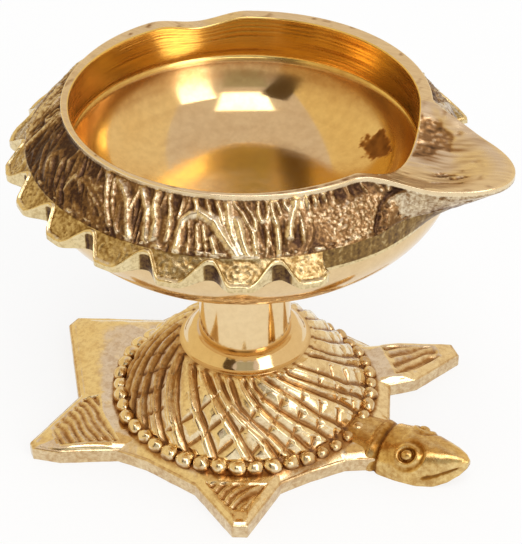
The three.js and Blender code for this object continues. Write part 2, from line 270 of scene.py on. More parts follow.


# Brass: bright where it was rubbed, dark where the polish never reached.
# The mark on the mesh says how deep in a recess each point lies; in a few places it also carries painted
# shade.
def brass(name, own):
    look = plainLook | own
    material = bpy.data.materials.new(name)
    tree = emptyTree(material)
    place = addNode(tree, "ShaderNodeTexCoord").outputs["Object"]
    stretched = addNode(tree, "ShaderNodeMapping", {"Scale": look["stretch"]}, {"Vector": place}).outputs[0]
    mark = addNode(tree, "ShaderNodeAttribute", {"attribute_name": "patinaAndShade"}).outputs["Fac"]
    cloud = addNode(tree, "ShaderNodeTexNoise", {"Scale": 1 / (look["cloudMm"] * mm), "Detail": 3.0},
                    {"Vector": place}).outputs["Fac"]
    grain = addNode(tree, "ShaderNodeTexNoise", {"Scale": 1 / (look["grainMm"] * mm), "Detail": 5.0,
                                                 "Roughness": 0.65}, {"Vector": stretched}).outputs["Fac"]
    half = look["speckle"] / 2
    speckle = addNode(tree, "ShaderNodeMapRange", {"From Min": 0.38, "From Max": 0.62, "To Min": -half,
                                                   "To Max": half}, {"Value": grain}).outputs[0]
    deep = addNode(tree, "ShaderNodeMath", {"operation": "ADD", "use_clamp": True},
                   {0: mark, 1: speckle}).outputs[0]
    warm = addNode(tree, "ShaderNodeMix", {"data_type": "RGBA", 6: linear(look["bright"]),
                                           7: linear(look["warm"])}, {0: cloud}).outputs[2]
    middle = addNode(tree, "ShaderNodeMapRange", {"From Max": 0.5}, {"Value": deep}).outputs[0]
    bottom = addNode(tree, "ShaderNodeMapRange", {"From Min": 0.45}, {"Value": deep}).outputs[0]
    toned = addNode(tree, "ShaderNodeMix", {"data_type": "RGBA", 7: linear(look["toned"])},
                    {0: middle, 6: warm}).outputs[2]
    colour = addNode(tree, "ShaderNodeMix", {"data_type": "RGBA", 7: linear(look["dark"])},
                     {0: bottom, 6: toned}).outputs[2]
    dulled = addNode(tree, "ShaderNodeMapRange", {"To Min": look["polish"], "To Max": look["dull"]},
                     {"Value": deep}).outputs[0]
    smudge = addNode(tree, "ShaderNodeMath", {"operation": "MULTIPLY_ADD", 1: look["smudge"],
                                              2: -0.5 * look["smudge"]}, {0: cloud}).outputs[0]
    rough = addNode(tree, "ShaderNodeMath", {"operation": "ADD", "use_clamp": True},
                    {0: dulled, 1: smudge}).outputs[0]
    relief = addNode(tree, "ShaderNodeBump", {"Strength": 1.0, "Distance": look["reliefMm"] * mm},
                     {"Height": grain}).outputs[0]
    surface = addNode(tree, "ShaderNodeBsdfPrincipled", {"Metallic": 1.0},
                      {"Base Color": colour, "Roughness": rough, "Normal": relief}).outputs[0]
    addNode(tree, "ShaderNodeOutputMaterial", {}, {"Surface": surface})
    return material


# Turned and buffed brass: the lathe's fine rings run round it and the buff has rounded them off,
# so it mirrors with a slight softness.
buffedTurnedBrass = brass("buffedTurnedBrass", {
    "bright": "#edd3a6", "warm": "#e8ca96", "toned": "#ab7d42", "dark": "#4e3322",
    "cloudMm": 9.0, "grainMm": 1.2, "speckle": 0.05,
    "polish": 0.08, "smudge": 0.05, "reliefMm": 0.004,
})

# Cup of cast brass, spun smooth on the lathe: rings of tool marks and a few dull spots
spunCupBrass = brass("spunCupBrass", {
    "bright": "#ebcf98", "warm": "#e5c184", "toned": "#a9743a", "dark": "#5a3418",
    "cloudMm": 7.0, "grainMm": 1.6, "speckle": 0.08,
    "polish": 0.075, "smudge": 0.04, "reliefMm": 0.002,
})

# Wall of the cup: brass cut by the lathe's tool and not buffed, deeper in colour, so light that
# bounces round inside it goes orange
turnedWallBrass = brass("turnedWallBrass", {
    "bright": "#edd188", "warm": "#e6c272", "toned": "#a9702e", "dark": "#5a3014",
    "cloudMm": 9.0, "grainMm": 1.4, "stretch": (1.0, 1.0, 6.0), "speckle": 0.12,
    "polish": 0.17, "smudge": 0.08, "reliefMm": 0.006,
})

# Sand-cast bark: the high ridges are rubbed bright and the grooves keep the brown of the casting
castBarkBrass = brass("castBarkBrass", {
    "bright": "#f6ebd2", "warm": "#e8cf9f", "toned": "#8f6c45", "dark": "#493327",
    "cloudMm": 1.6, "grainMm": 0.55, "speckle": 0.34,
    "polish": 0.22, "reliefMm": 0.022,
})

# Carved scroll: cut with a graver after casting, so its lips are bright
carvedScrollBrass = brass("carvedScrollBrass", {
    "bright": "#efdeb2", "warm": "#dabf86", "toned": "#967643", "dark": "#4c3529",
    "cloudMm": 2.2, "grainMm": 0.6, "speckle": 0.3,
    "polish": 0.2, "reliefMm": 0.04,
})

# Filed brass: strokes of a file run out along the spout, with the casting's pits left between
filedBrass = brass("filedBrass", {
    "bright": "#f0dcb6", "warm": "#e6cda2", "toned": "#a27a4e", "dark": "#58402c",
    "cloudMm": 3.0, "grainMm": 0.8, "stretch": (0.2, 2.0, 1.0), "speckle": 0.12,
    "polish": 0.27, "dull": 0.55, "reliefMm": 0.012,
})

# Cast shell: cut net rubbed bright on its plates, brown along its grooves
castShellBrass = brass("castShellBrass", {
    "bright": "#f6e8c6", "warm": "#ebd09c", "toned": "#ac7e4a", "dark": "#6a4830",
    "cloudMm": 4.0, "grainMm": 0.8, "speckle": 0.2,
    "polish": 0.15, "reliefMm": 0.018,
})

# Cast head: held most often, so the pale skin of the casting is gone and the yellow metal shows
handledBrass = brass("handledBrass", {
    "bright": "#f2dca4", "warm": "#e2b866", "toned": "#a5722e", "dark": "#5c3a1c",
    "cloudMm": 3.0, "grainMm": 0.8, "speckle": 0.24,
    "polish": 0.2, "reliefMm": 0.016,
})

# Drawn brass rod and sheet of the fixing, left as it came from the mill: an even, dull yellow
drawnBrass = brass("drawnBrass", {
    "bright": "#d8b878", "warm": "#cfa964", "toned": "#96703c", "dark": "#4c3420",
    "cloudMm": 2.5, "grainMm": 0.7, "stretch": (1.0, 1.0, 0.3), "speckle": 0.25,
    "polish": 0.3, "dull": 0.6, "reliefMm": 0.015,
})

# Spring steel under dull zinc plate: pale grey with cloudy patches
zincPlatedSteel = brass("zincPlatedSteel", {
    "bright": "#c9cac6", "warm": "#b4b6b4", "toned": "#8e8e8a", "dark": "#55534e",
    "cloudMm": 1.5, "grainMm": 0.5, "speckle": 0.25,
    "polish": 0.36, "dull": 0.6, "smudge": 0.12, "reliefMm": 0.01,
})
print("materials made")


studio = {
    "cameraPlace": (104.199, -196.430, 188.418),   # mm
    "aim": (0.015, -0.49, 29.4),
    "roll": 0.1,
    "focalPx": 1662.97,
    "imageLongSidePx": 544,
    "sensorWidth": 36.0,
    "floorHalf": 900,
    "floorShadow": 0.2,      # how much of the floor is lit paint, which keeps the shadow
    "floorColour": "#f4f3f1",
    "worldLevel": 0.78,
    "lampMiddle": 45,
}


def makeCamera():
    data = bpy.data.cameras.new("camera")
    data.sensor_width = studio["sensorWidth"]
    data.lens = studio["focalPx"] * studio["sensorWidth"] / studio["imageLongSidePx"]
    data.clip_start = 0.01
    data.clip_end = 10
    camera = bpy.data.objects.new("camera", data)
    place = Vector(studio["cameraPlace"]) * mm
    look = Vector(studio["aim"]) * mm - place
    turn = look.to_track_quat("-Z", "Y") @ Euler((0, 0, math.radians(studio["roll"]))).to_quaternion()
    camera.location = place
    camera.rotation_mode = "QUATERNION"
    camera.rotation_quaternion = turn
    intoScene(camera)
    bpy.context.scene.camera = camera


# a flat rectangle's corners
def rectangle(halfWide, halfTall):
    return [(x * halfWide, y * halfTall, 0) for x, y in ((-1, -1), (1, -1), (1, 1), (-1, 1))]


# one where the camera or a mirror looks, and none for the light that falls on the lamp
def whiteSeen(tree):
    rays = addNode(tree, "ShaderNodeLightPath")
    seen = addNode(tree, "ShaderNodeMath", {"operation": "MAXIMUM"},
                   {0: rays.outputs["Is Camera Ray"], 1: rays.outputs["Is Glossy Ray"]}).outputs[0]
    return addNode(tree, "ShaderNodeMath", {"operation": "MAXIMUM"},
                   {0: seen, 1: rays.outputs["Is Transmission Ray"]}).outputs[0]


def makeWorld():
    world = bpy.data.worlds.new("whiteRoom")
    bpy.context.scene.world = world
    tree = emptyTree(world)
    seen = whiteSeen(tree)
    level = addNode(tree, "ShaderNodeMapRange", {"To Min": studio["worldLevel"], "To Max": 1.0},
                    {"Value": seen}).outputs[0]
    shade = addNode(tree, "ShaderNodeBackground", {"Color": (1, 1, 1, 1)}, {"Strength": level}).outputs[0]
    addNode(tree, "ShaderNodeOutputWorld", {}, {"Surface": shade})


# Pale table: white to the camera, with only the lamp's soft shadow on it
def makeFloor():
    half = studio["floorHalf"] * mm
    mesh = bpy.data.meshes.new("floor")
    mesh.from_pydata(rectangle(half, half), [], [(0, 1, 2, 3)])
    floor = bpy.data.objects.new("floor", mesh)
    intoScene(floor)
    material = bpy.data.materials.new("paleTable")
    tree = emptyTree(material)
    seen = whiteSeen(tree)
    share = addNode(tree, "ShaderNodeMath", {"operation": "MULTIPLY", 1: 1 - studio["floorShadow"]},
                    {0: seen}).outputs[0]
    paint = addNode(tree, "ShaderNodeBsdfDiffuse", {"Color": linear(studio["floorColour"])}).outputs[0]
    white = addNode(tree, "ShaderNodeEmission", {"Color": (1, 1, 1, 1), "Strength": 1.0}).outputs[0]
    mixed = addNode(tree, "ShaderNodeMixShader", {}, {0: share, 1: paint, 2: white}).outputs[0]
    addNode(tree, "ShaderNodeOutputMaterial", {}, {"Surface": mixed})
    mesh.materials.append(material)


# Soft boxes: the bearing and height of each one's middle (degrees), its distance, width and
# height (mm), how far it is rolled over, and how bright its face is beside the white room
softBoxes = [
    {"name": "tallBox", "bearing": -21.8, "height": 35.5, "away": 1500,
     "wide": 540, "tall": 1500, "roll": -12, "level": 2.9},
    {"name": "wideBox", "bearing": -62.3, "height": 72.0, "away": 1500,
     "wide": 640, "tall": 720, "roll": 2, "level": 2.9},
]


def towards(bearing, height):
    bearing, height = math.radians(bearing), math.radians(height)
    flat = math.cos(height)
    return Vector((flat * math.cos(bearing), flat * math.sin(bearing), math.sin(height)))


def aimAtLamp(piece, item):
    direction = towards(item["bearing"], item["height"])
    piece.location = Vector((0, 0, studio["lampMiddle"] * mm)) + direction * item["away"] * mm
    piece.rotation_mode = "QUATERNION"
    spin = Euler((0, 0, math.radians(item.get("roll", 0)))).to_quaternion()
    piece.rotation_quaternion = direction.to_track_quat("Z", "Y") @ spin
    intoScene(piece)


def makeLamps():
    for box in softBoxes:
        data = bpy.data.lights.new(box["name"], "AREA")
        data.shape = "RECTANGLE"
        data.size = box["wide"] * mm
        data.size_y = box["tall"] * mm
        data.energy = box["level"] * math.pi * data.size * data.size_y
        aimAtLamp(bpy.data.objects.new(box["name"], data), box)


# Dim cards beside the soft boxes, which only the polished pieces mirror
roomCards = [
    {"name": "greyCorner", "bearing": -62, "height": 36, "away": 1480, "wide": 700, "tall": 760,
     "colour": "#b9b8ab"},
    {"name": "darkShelf", "bearing": -94, "height": 43, "away": 1460, "wide": 420, "tall": 1080,
     "colour": "#5e4c36"},
]

# The room round them: a ceiling and two walls that meet in a corner behind the lamp, as the dish
# mirrors them (corners in mm)
roomHeight = 1700
roomCorner = (-1900, 3070)
roomLeft = (4320, -2940)
roomRight = (280, -3420)
roomFaces = [
    {"name": "ceiling", "colour": "#e3dade", "low": roomHeight, "corners": (roomCorner, roomLeft, roomRight)},
    {"name": "creamWall", "colour": "#f4e4c8", "low": 0, "corners": (roomCorner, roomLeft)},
    {"name": "oliveWall", "colour": "#f2deb0", "low": 0, "corners": (roomCorner, roomRight)},
]


# a flat glowing card that only the lamp's mirroring metal sees
def glowCard(name, points, colour):
    mesh = bpy.data.meshes.new(name)
    mesh.from_pydata([[v * mm for v in point] for point in points], [], [tuple(range(len(points)))])
    material = bpy.data.materials.new(name)
    tree = emptyTree(material)
    glow = addNode(tree, "ShaderNodeEmission", {"Color": linear(colour), "Strength": 1.0}).outputs[0]
    addNode(tree, "ShaderNodeOutputMaterial", {}, {"Surface": glow})
    mesh.materials.append(material)
    piece = bpy.data.objects.new(name, mesh)
    piece.visible_camera = False
    piece.visible_diffuse = False
    piece.visible_shadow = False
    return piece


def makeRoomCards():
    for card in roomCards:
        piece = glowCard(card["name"], rectangle(card["wide"] / 2, card["tall"] / 2), card["colour"])
        aimAtLamp(piece, card)
    for face in roomFaces:
        points = [(x, y, roomHeight) for x, y in face["corners"]]
        if face["low"] < roomHeight:
            points += [(x, y, face["low"]) for x, y in face["corners"][::-1]]
        piece = glowCard(face["name"], points, face["colour"])
        intoScene(piece)


makeCamera()
makeWorld()
makeFloor()
makeLamps()
makeRoomCards()
print("camera, floor and light ready")


bowl = {
    "columns": 1200,
    "cupRadius": 27.0, "cupUndercut": 0.4, "cupWallDepth": 8.0, "dishStep": 0.5,
    "dishFloorReach": 8.0, "dishFloorSlope": 5.0, "dishEdgeSlope": 74.0, "dishCurl": 2.0,
    "rimLand": 1.7, "rimLandSwing": 0.9, "backLand": 0.5, "backLandAngle": 152, "backLandHalf": 40,
    "dipDepth": 1.4, "dipAngle": 134, "dipHalf": 17,
    "undersideRadius": 33.1, "undersideDepth": 16.7, "undersideTop": 10.1,
    "barkFootRadius": 34.0, "barkFootDrop": 6.5, "barkSwell": 0.4, "keelBlend": 0.8,
    "frillRadius": 37.3, "frillEdge": 0.5, "scallops": 16, "scallopDepth": 2.6,
    "frillEndAngle": 42.5, "firstNotchAngle": 53.5,
    "spoutReach": 44.2, "spoutHalf": 28, "lipDrop": 1.6, "lipDropEnd": 0.6, "lipEdge": 0.9,
    "mouthHalf": 26, "mouthDepth": 4.1, "mouthRound": 1.5, "floorStart": 0.03, "floorEnd": 0.7,
    "bossRadius": 7.3, "tappedDepth": 5.1,
    "rowsUnderside": 34, "rowsFrill": 20, "rowsBark": 54, "rowsLand": 34, "rowsWall": 58, "rowsDish": 64,
    "wallRings": 0.028, "wallMark": 0.4, "dishRings": 0.004, "dishMark": 0.06, "edgeRound": 0.22,
}

# Ridges of the bark: half width (mm), height share, then points as angle round the stem and
# share of the way from the lip down to the frill
barkRidges = [
    (0.50, 0.7, [(-136.2, .38), (-133.3, .59), (-130.1, .77)]),
    (0.50, 0.7, [(-130.8, .25), (-129.5, .49), (-126.9, .72)]),
    (0.45, 0.7, [(-128.7, .45), (-125.6, .61), (-122.8, .78)]),
    (0.55, 0.8, [(-124.5, .28), (-123.1, .46), (-120.7, .69)]),
    (0.45, 0.7, [(-120.7, .46), (-119.3, .59), (-118, .79)]),
    (0.60, 0.8, [(-121.6, .04), (-122.1, .24), (-119.6, .42)]),
    (0.50, 0.8, [(-115.9, .68), (-115.9, .51), (-115.8, .37), (-113.5, .38), (-110.9, .51)]),
    (0.50, 0.7, [(-113.1, .33), (-109.4, .38), (-105.9, .48), (-102.8, .59), (-100.4, .73)]),
    (0.40, 0.6, [(-108, .48), (-104.9, .63), (-102.6, .82)]),
    (0.45, 0.7, [(-110.5, .25), (-106.1, .36), (-102.8, .47), (-100.7, .61)]),
    (0.60, 0.9, [(-108.1, -.07), (-104.6, .1), (-102.9, .28), (-100.6, .51), (-97.2, .83)]),
    (0.50, 0.8, [(-102.3, .08), (-100.5, .27), (-99.4, .43), (-97.3, .63), (-94.2, .89)]),
    (0.80, 1.0, [(-100.9, .05), (-98.2, .14), (-95.4, .27), (-94, .45), (-92.3, .7), (-90.8, .93)]),
    (0.50, 0.9, [(-94.2, -.08), (-93, .08), (-93.1, .26), (-93.3, .39)]),
    (0.85, 1.0, [(-92.8, .01), (-90.5, .18), (-88.5, .35), (-87.5, .61), (-86.5, .88)]),
    (0.75, 1.0, [(-87.4, -.08), (-87.2, .12), (-86.7, .29), (-85.1, .48), (-84.7, .81)]),
    (0.60, 0.9, [(-83.4, -.03), (-82.8, .14), (-81.4, .34), (-81, .57), (-81.2, .79)]),
    (0.45, 0.9, [(-79.7, -.1), (-79.3, .07), (-79, .23), (-79.3, .37)]),
    (0.45, 0.9, [(-75.9, .01), (-74.7, .16), (-74.7, .24)]),
    (0.70, 1.0, [(-73.6, .23), (-76.2, .28), (-78.1, .39), (-78.5, .57), (-78.2, .75), (-77.9, .98)]),
    (0.85, 1.15, [(-73.6, .23), (-71.5, .28), (-69.4, .35), (-67.7, .49), (-66, .66), (-64.4, .83),
                  (-62.7, 1.06)]),
    (0.40, 0.8, [(-76.1, .41), (-75.5, .63), (-75.2, .94)]),
    (0.50, 0.9, [(-73.8, .45), (-73.2, .7), (-72.8, .96)]),
    (0.40, 0.8, [(-72.3, .43), (-71.2, .68), (-70.6, .96)]),
    (0.55, 0.9, [(-69.8, .64), (-68.8, .82), (-67.9, 1)]),
    (0.45, 0.9, [(-72.9, -.13), (-72.1, .04), (-70.9, .2), (-69.6, .29)]),
    (0.45, 0.9, [(-69.5, -.07), (-68.9, .08), (-67.8, .2), (-67, .38)]),
    (0.90, 0.9, [(-66.5, -.06), (-65.9, .15), (-65.5, .35), (-64.5, .58), (-63.2, .82), (-62, 1.02)]),
    (0.50, 1.0, [(-65, -.05), (-63.7, .08), (-61.7, .2), (-60.4, .35), (-59.4, .51), (-59, .75),
                 (-58.4, .99)]),
    (0.45, 0.9, [(-61.7, -.05), (-60.9, .09), (-59.5, .19), (-58.5, .32), (-58.4, .46)]),
    (0.75, 1.1, [(-63.1, .32), (-62.2, .54), (-61.5, .76), (-60.3, 1)]),
    (0.40, 0.9, [(-57.5, .04), (-57.6, .21), (-56.9, .33), (-55.6, .33), (-54.8, .19), (-55.1, -.01)]),
    (0.60, 1.0, [(-53.8, -.08), (-53.8, .07), (-53.3, .24), (-52.8, .41), (-53, .67), (-53.1, .96)]),
    (0.50, 0.9, [(-52.6, -.05), (-51.8, .08), (-51.4, .23)]),
    (0.50, 0.9, [(-49.3, -.09), (-50, .08), (-49.2, .16), (-47.5, .09)]),
    (0.80, 1.1, [(-45.8, -.13), (-46.8, .06), (-48, .22), (-49, .38), (-49.9, .62)]),
    (0.45, 0.8, [(-55.3, .52), (-55.8, .75), (-56.3, .96)]),
    (0.55, 0.9, [(-43.2, -.01), (-43.3, .19), (-43.7, .42)]),
    (0.45, 0.8, [(-46.3, .24), (-46, .44), (-46.6, .77)]),
    (0.45, 0.8, [(-41, .03), (-41.1, .22), (-41, .38)]),
    (0.50, 0.9, [(-37.8, .02), (-38, .2), (-37.4, .3)]),
]

# How the bark was cut (mm): its ridges, grooves and finer streaks, the stipple and the leaf near
# the spout, whose places are degrees from the spout, the crevice beside the leaf, the bright nubs
# at the frill (shares of the way down), and how dark each of these is left
bark = {
    "meanRadius": 31.3, "slope": 7.85, "ridgeHeight": 0.85, "grooveDepth": 0.5, "ridgeTaper": 1.5,
    "streakWide": 0.85, "streakLong": 4.5, "farSideFiled": 0.62, "stippleStart": 37.5, "stippleEnd": 45,
    "stippleFlare": 5, "stippleGrain": 0.5, "stippleHeight": 0.3, "nubSize": 0.85, "nubHeight": 0.55,
    "leafBlend": 0.6, "creviceAside": 0.9, "creviceHalf": 0.8, "creviceDepth": 0.3,
    "ridgeSpan": 16, "ridgePower": 0.85, "wobbleLong": 0.3, "wobbleFine": 0.16,
    "streakHeight": 0.6, "streakPower": 1.3, "streakWander": 1.4, "broadHeight": 0.12,
    "wanderHeight": 0.08, "fineHeight": 0.055, "stippleOver": 0.85, "stippleMiddle": 0.7,
    "nubStart": 0.86, "nubFull": 0.92, "nubFade": 0.97, "pitMm": 1.1, "leafLift": 0.12, "leafPits": 0.3,
    "grooveMark": 1.05, "rubbed": 0.95, "goldenMm": 4.2, "goldenShare": 0.38,
    "backDarkStart": 76, "backDarkEnd": 104, "backDarkMark": 0.15, "stippleMark": 0.24, "stippleDark": 0.4,
    "leafMark": 0.28, "leafPitMark": 0.3, "leafLowMark": 0.25, "creviceMark": 0.5,
}

# The far side shows only from behind: the same run of ridges again, mirrored, then moved round
barkRuns = [
    {"mirror": False, "shift": 0.0, "low": -142.0, "high": -36.0},
    {"mirror": True, "shift": 0.0, "low": 36.0, "high": 141.0},
    {"mirror": False, "shift": -91.0, "low": -219.0, "high": -141.0},
]


def lipRadius(a):
    land = bowl["rimLand"] + bowl["rimLandSwing"] * np.sin(np.radians(a))
    back = bowl["backLand"] * bell(a, bowl["backLandAngle"], bowl["backLandHalf"])
    spout = (bowl["spoutReach"] - bowl["cupRadius"] - bowl["rimLand"]) * bell(a, 0, bowl["spoutHalf"])
    return bowl["cupRadius"] + land + back + spout


def rimDip(a):
    return bowl["dipDepth"] * bell(a, bowl["dipAngle"], bowl["dipHalf"])


def lipHeight(a):
    drop = bowl["lipDrop"] * smooth(bell(a, 0, bowl["spoutHalf"]), 0, bowl["lipDropEnd"])
    return rimHeight - rimDip(a) - drop


def cupEdgeHeight(a):
    mouth = np.maximum(1 - (angleFrom(a, 0) / bowl["mouthHalf"]) ** 2, 0) ** bowl["mouthRound"]
    return rimHeight - rimDip(a) - bowl["mouthDepth"] * mouth


def wallRadius(a, height):
    under = rimHeight - bowl["undersideTop"]
    foot = rimHeight - bowl["barkFootDrop"]
    top = lipHeight(a) - bowl["lipEdge"]
    rise = np.clip((height - under) / (top - under), 0, 1)
    keel = lerp(bowl["undersideRadius"], lipRadius(a), rise)
    slopeRise = (height - foot) / (top - foot)
    swell = bowl["barkSwell"] * np.sin(math.pi * np.clip(slopeRise, 0, 1))
    slope = lerp(bowl["barkFootRadius"], lipRadius(a), np.maximum(slopeRise, 0)) + swell
    return lerp(slope, keel, bell(a, 0, bowl["spoutHalf"]) ** bowl["keelBlend"])


# Where an angle lies in its scallop, from -0.5 to 0.5 with 0 at the notch
def scallopPhase(a):
    pitch = (fullTurn - 2 * bowl["firstNotchAngle"]) / bowl["scallops"]
    turned = (a % fullTurn - bowl["firstNotchAngle"]) / pitch
    return (turned + 0.5) % 1 - 0.5


# The frill's running wave: steep out of each notch and a long slide into the next
def notchShare(a):
    phase = scallopPhase(a)
    fall = smooth(phase, -0.46, -0.02)
    rise = 1 - smooth(phase, 0.02, 0.31)
    return np.where(phase < 0, fall, rise)


def drumShare(a):
    phase = scallopPhase(a)
    return smooth(phase, -0.105, -0.085) * (1 - smooth(phase, 0.13, 0.2))


def frillRadiusAt(a):
    return bowl["frillRadius"] - bowl["scallopDepth"] * notchShare(a)


def hasFrill(a):
    return np.abs(angleFrom(a, 0)) >= bowl["frillEndAngle"]


# Slope of the dish: shallow over the floor, then curling up ever faster to its edge
def dishSlope(radius, dishRadius):
    floor, edge = [math.sin(math.radians(bowl[slope])) for slope in ("dishFloorSlope", "dishEdgeSlope")]
    if radius < bowl["dishFloorReach"]:
        return math.asin(floor * radius / bowl["dishFloorReach"])
    share = (radius - bowl["dishFloorReach"]) / (dishRadius - bowl["dishFloorReach"])
    return math.asin(lerp(floor, edge, share ** bowl["dishCurl"]))


# The dish from its edge to its middle
def dishArc(dishTop, dishRadius):
    count = bowl["rowsDish"]
    points = [(dishRadius, dishTop)]
    height = dishTop
    for step in range(1, count + 1):
        radius = max(dishRadius * (1 - (step / count) ** 1.3), 0.02)
        run = points[-1][0] - radius
        height -= run * math.tan(dishSlope(radius + run / 2, dishRadius))
        points.append((radius, height))
    return points


def bowlRows(a):
    under = rimHeight - bowl["undersideTop"]
    foot = rimHeight - bowl["barkFootDrop"]
    frill = hasFrill(a)
    radiusAt = np.where(frill, frillRadiusAt(a), wallRadius(a, under))
    topHeight = under + bowl["frillEdge"]
    carved = lerp(foot, topHeight, (radiusAt - bowl["barkFootRadius"]) /
                  (bowl["frillRadius"] - bowl["barkFootRadius"]))
    edgeTop = np.where(frill, carved, topHeight)
    edgeRadius = np.where(frill, radiusAt, wallRadius(a, topHeight))
    rows, row = rowList(a)
    row("hole", 0.02, stemTop + bowl["tappedDepth"])
    row("hole", boreRadius, stemTop + bowl["tappedDepth"])
    row("hole", boreRadius, stemTop)
    row("boss", bowl["bossRadius"], stemTop)
    start = math.asin(bowl["bossRadius"] / bowl["undersideRadius"])
    count = bowl["rowsUnderside"]
    for step in range(count + 1):
        turn = lerp(start, math.pi / 2, step / count)
        radius = bowl["undersideRadius"] * math.sin(turn)
        row("underside", np.minimum(radius, radiusAt - 0.2), under - bowl["undersideDepth"] * math.cos(turn))
    for share in (0.33, 0.66, 0.94):
        row("frillUnder", lerp(np.minimum(bowl["undersideRadius"], radiusAt - 0.2), radiusAt, share), under)
    for share in (0.06, 0.3, 0.5, 0.7, 0.94):
        row("frillEdge", lerp(radiusAt, edgeRadius, share), lerp(under, edgeTop, share), share)
    count = bowl["rowsFrill"]
    footRadius = wallRadius(a, foot)
    for step in range(count):
        share = 0.01 + step / count
        row("frill", lerp(edgeRadius, footRadius, share), lerp(edgeTop, foot, share), 1 - share)
    top = lipHeight(a)
    count = bowl["rowsBark"]
    for step in range(count + 1):
        height = lerp(foot, top - bowl["lipEdge"], step / count)
        row("bark", wallRadius(a, height), height, 1 - step / count)
    lip = lipRadius(a)
    edge = bowl["edgeRound"]
    for share in (0.3, 0.6):
        row("lip", lip, top - bowl["lipEdge"] * (1 - share))
    for turn in (0, 30, 60, 90):
        turn = math.radians(turn)
        row("lip", lip - edge * (1 - math.cos(turn)), top - edge * (1 - math.sin(turn)))
    cupEdge = cupEdgeHeight(a)
    cup = bowl["cupRadius"]
    count = bowl["rowsLand"]
    for step in range(1, count):
        share = step / count
        floor = lerp(top, cupEdge, smooth(share, bowl["floorStart"], bowl["floorEnd"]))
        row("land", lerp(lip - edge, cup + edge, share), floor, share)
    for turn in (0, 45, 90):
        turn = math.radians(turn)
        row("cupEdge", cup + edge * (1 - math.sin(turn)), cupEdge - edge * (1 - math.cos(turn)))
    dishTop = rimHeight - bowl["cupWallDepth"]
    wallFoot = cup + bowl["cupUndercut"]
    count = bowl["rowsWall"]
    for step in range(1, count):
        share = step / count
        row("wall", lerp(cup, wallFoot, share), lerp(cupEdge - edge, dishTop + bowl["dishStep"] + 0.2, share))
    dishRadius = wallFoot - bowl["dishStep"]
    row("wall", wallFoot - 0.05, dishTop + bowl["dishStep"])
    row("wall", wallFoot - 0.2, dishTop + bowl["dishStep"] * 0.7)
    for radius, height in dishArc(dishTop, dishRadius):
        row("dish", radius, height)
    return rows


# How far the bark's grain leans sideways (mm for each mm down) at angles round the stem
barkLean = [(-180, 0.3), (-140, 0.4), (-122, 0.75), (-105, 0.7), (-95, 0.35), (-86, 0.1), (-78, -0.05),
            (-70, 0.25), (-60, 0.35), (-53, 0.0), (-46, -0.25), (-36, 0.0), (36, 0.0), (60, -0.35),
            (78, 0.05), (105, -0.7), (140, -0.4), (180, 0.3)]


# Height of the ridges over the grooves, from 0 to 1, on the bark's rows
def barkRidgeField(a, share, place):
    field = np.zeros((len(share), len(a)))
    slope = bark["slope"]
    perDegree = math.radians(1) * bark["meanRadius"]
    along = np.repeat(share[:, None] * slope, len(a), 1)
    drawn = np.stack([a[None, :] * perDegree / 0.8 + 0 * along, along / 2.4, 0 * along], -1)
    wobble = bark["wobbleLong"] * uneven(drawn, 1.0, 81) + bark["wobbleFine"] * uneven(place, 0.7, 82)
    strength = 0.75 + 0.4 * lumps(place, 2.2, 83)
    for run in barkRuns:
        sign = -1 if run["mirror"] else 1
        for halfWidth, height, points in barkRidges:
            moved = [(sign * angle + run["shift"], part) for angle, part in points]
            middle = moved[0][0]
            if not run["low"] <= middle <= run["high"]:
                continue
            line = [((angle - middle) * perDegree, part * slope) for angle, part in moved]
            around = angleFrom(a, middle)
            near = np.abs(around) < bark["ridgeSpan"]
            across = np.repeat((around[near] * perDegree)[None, :], len(share), 0)
            distance = np.maximum(lineDistance(across, along[:, near], line) + wobble[:, near], 0)
            rise = np.clip(1 - distance / (halfWidth * bark["ridgeTaper"]), 0, 1) ** bark["ridgePower"]
            field[:, near] = np.maximum(field[:, near], height * rise * strength[:, near])

    # finer streaks between, running with the grain
    lean = np.interp(a, [angle for angle, _ in barkLean], [value for _, value in barkLean])[None, :]
    across = a[None, :] * perDegree - lean * along + bark["streakWander"] * uneven(place, 3.2, 84)
    streakPlace = np.stack([across / bark["streakWide"], along / bark["streakLong"], 0 * along], -1)
    streak = 1 - np.abs(2 * lumps(streakPlace, 1.0, 85) - 1)
    broad = 1 - np.abs(2 * lumps(streakPlace * np.array([0.45, 0.7, 1.0]), 1.0, 86) - 1)
    return np.maximum(field, bark["streakHeight"] * streak ** bark["streakPower"] * strength), broad


# Pits left in the spout's floor: where each runs (mm from the stem's axis) and how wide it is
spoutPits = [
    {"line": [(33.1, -0.9), (34.2, -0.1), (35.0, 0.1)], "width": 0.42},
    {"line": [(34.9, -0.6), (35.5, -1.3), (36.3, -1.0), (37.0, -0.3)], "width": 0.34},
    {"line": [(32.6, -0.2), (33.4, 0.4)], "width": 0.3},
    {"line": [(33.6, -3.6), (35.4, -3.2), (37.2, -2.9)], "width": 0.6},
]


# Brown stain that burnt oil left in the dish: its middle (mm from the stem's axis), how its long
# axis leans (degrees), half its length and width (mm); then less polish with painted shade up the dish's curl
dishStainAndShade = {
    "place": (15.1, 17.3), "lean": -39, "long": 3.5, "wide": 1.9, "mark": 0.72,
    "ragged": 0.9, "raggedMm": 1.5, "curlStart": 24.2, "curlEnd": 26.6, "curlDullAndShade": 0.3,
}


# The leaf's edge under the spout: angle from the spout's axis at each share of the way down
leafEdge = [(-0.2, 15.5), (0.14, 18.5), (0.39, 21.5), (0.83, 26.0), (1.5, 30.0)]


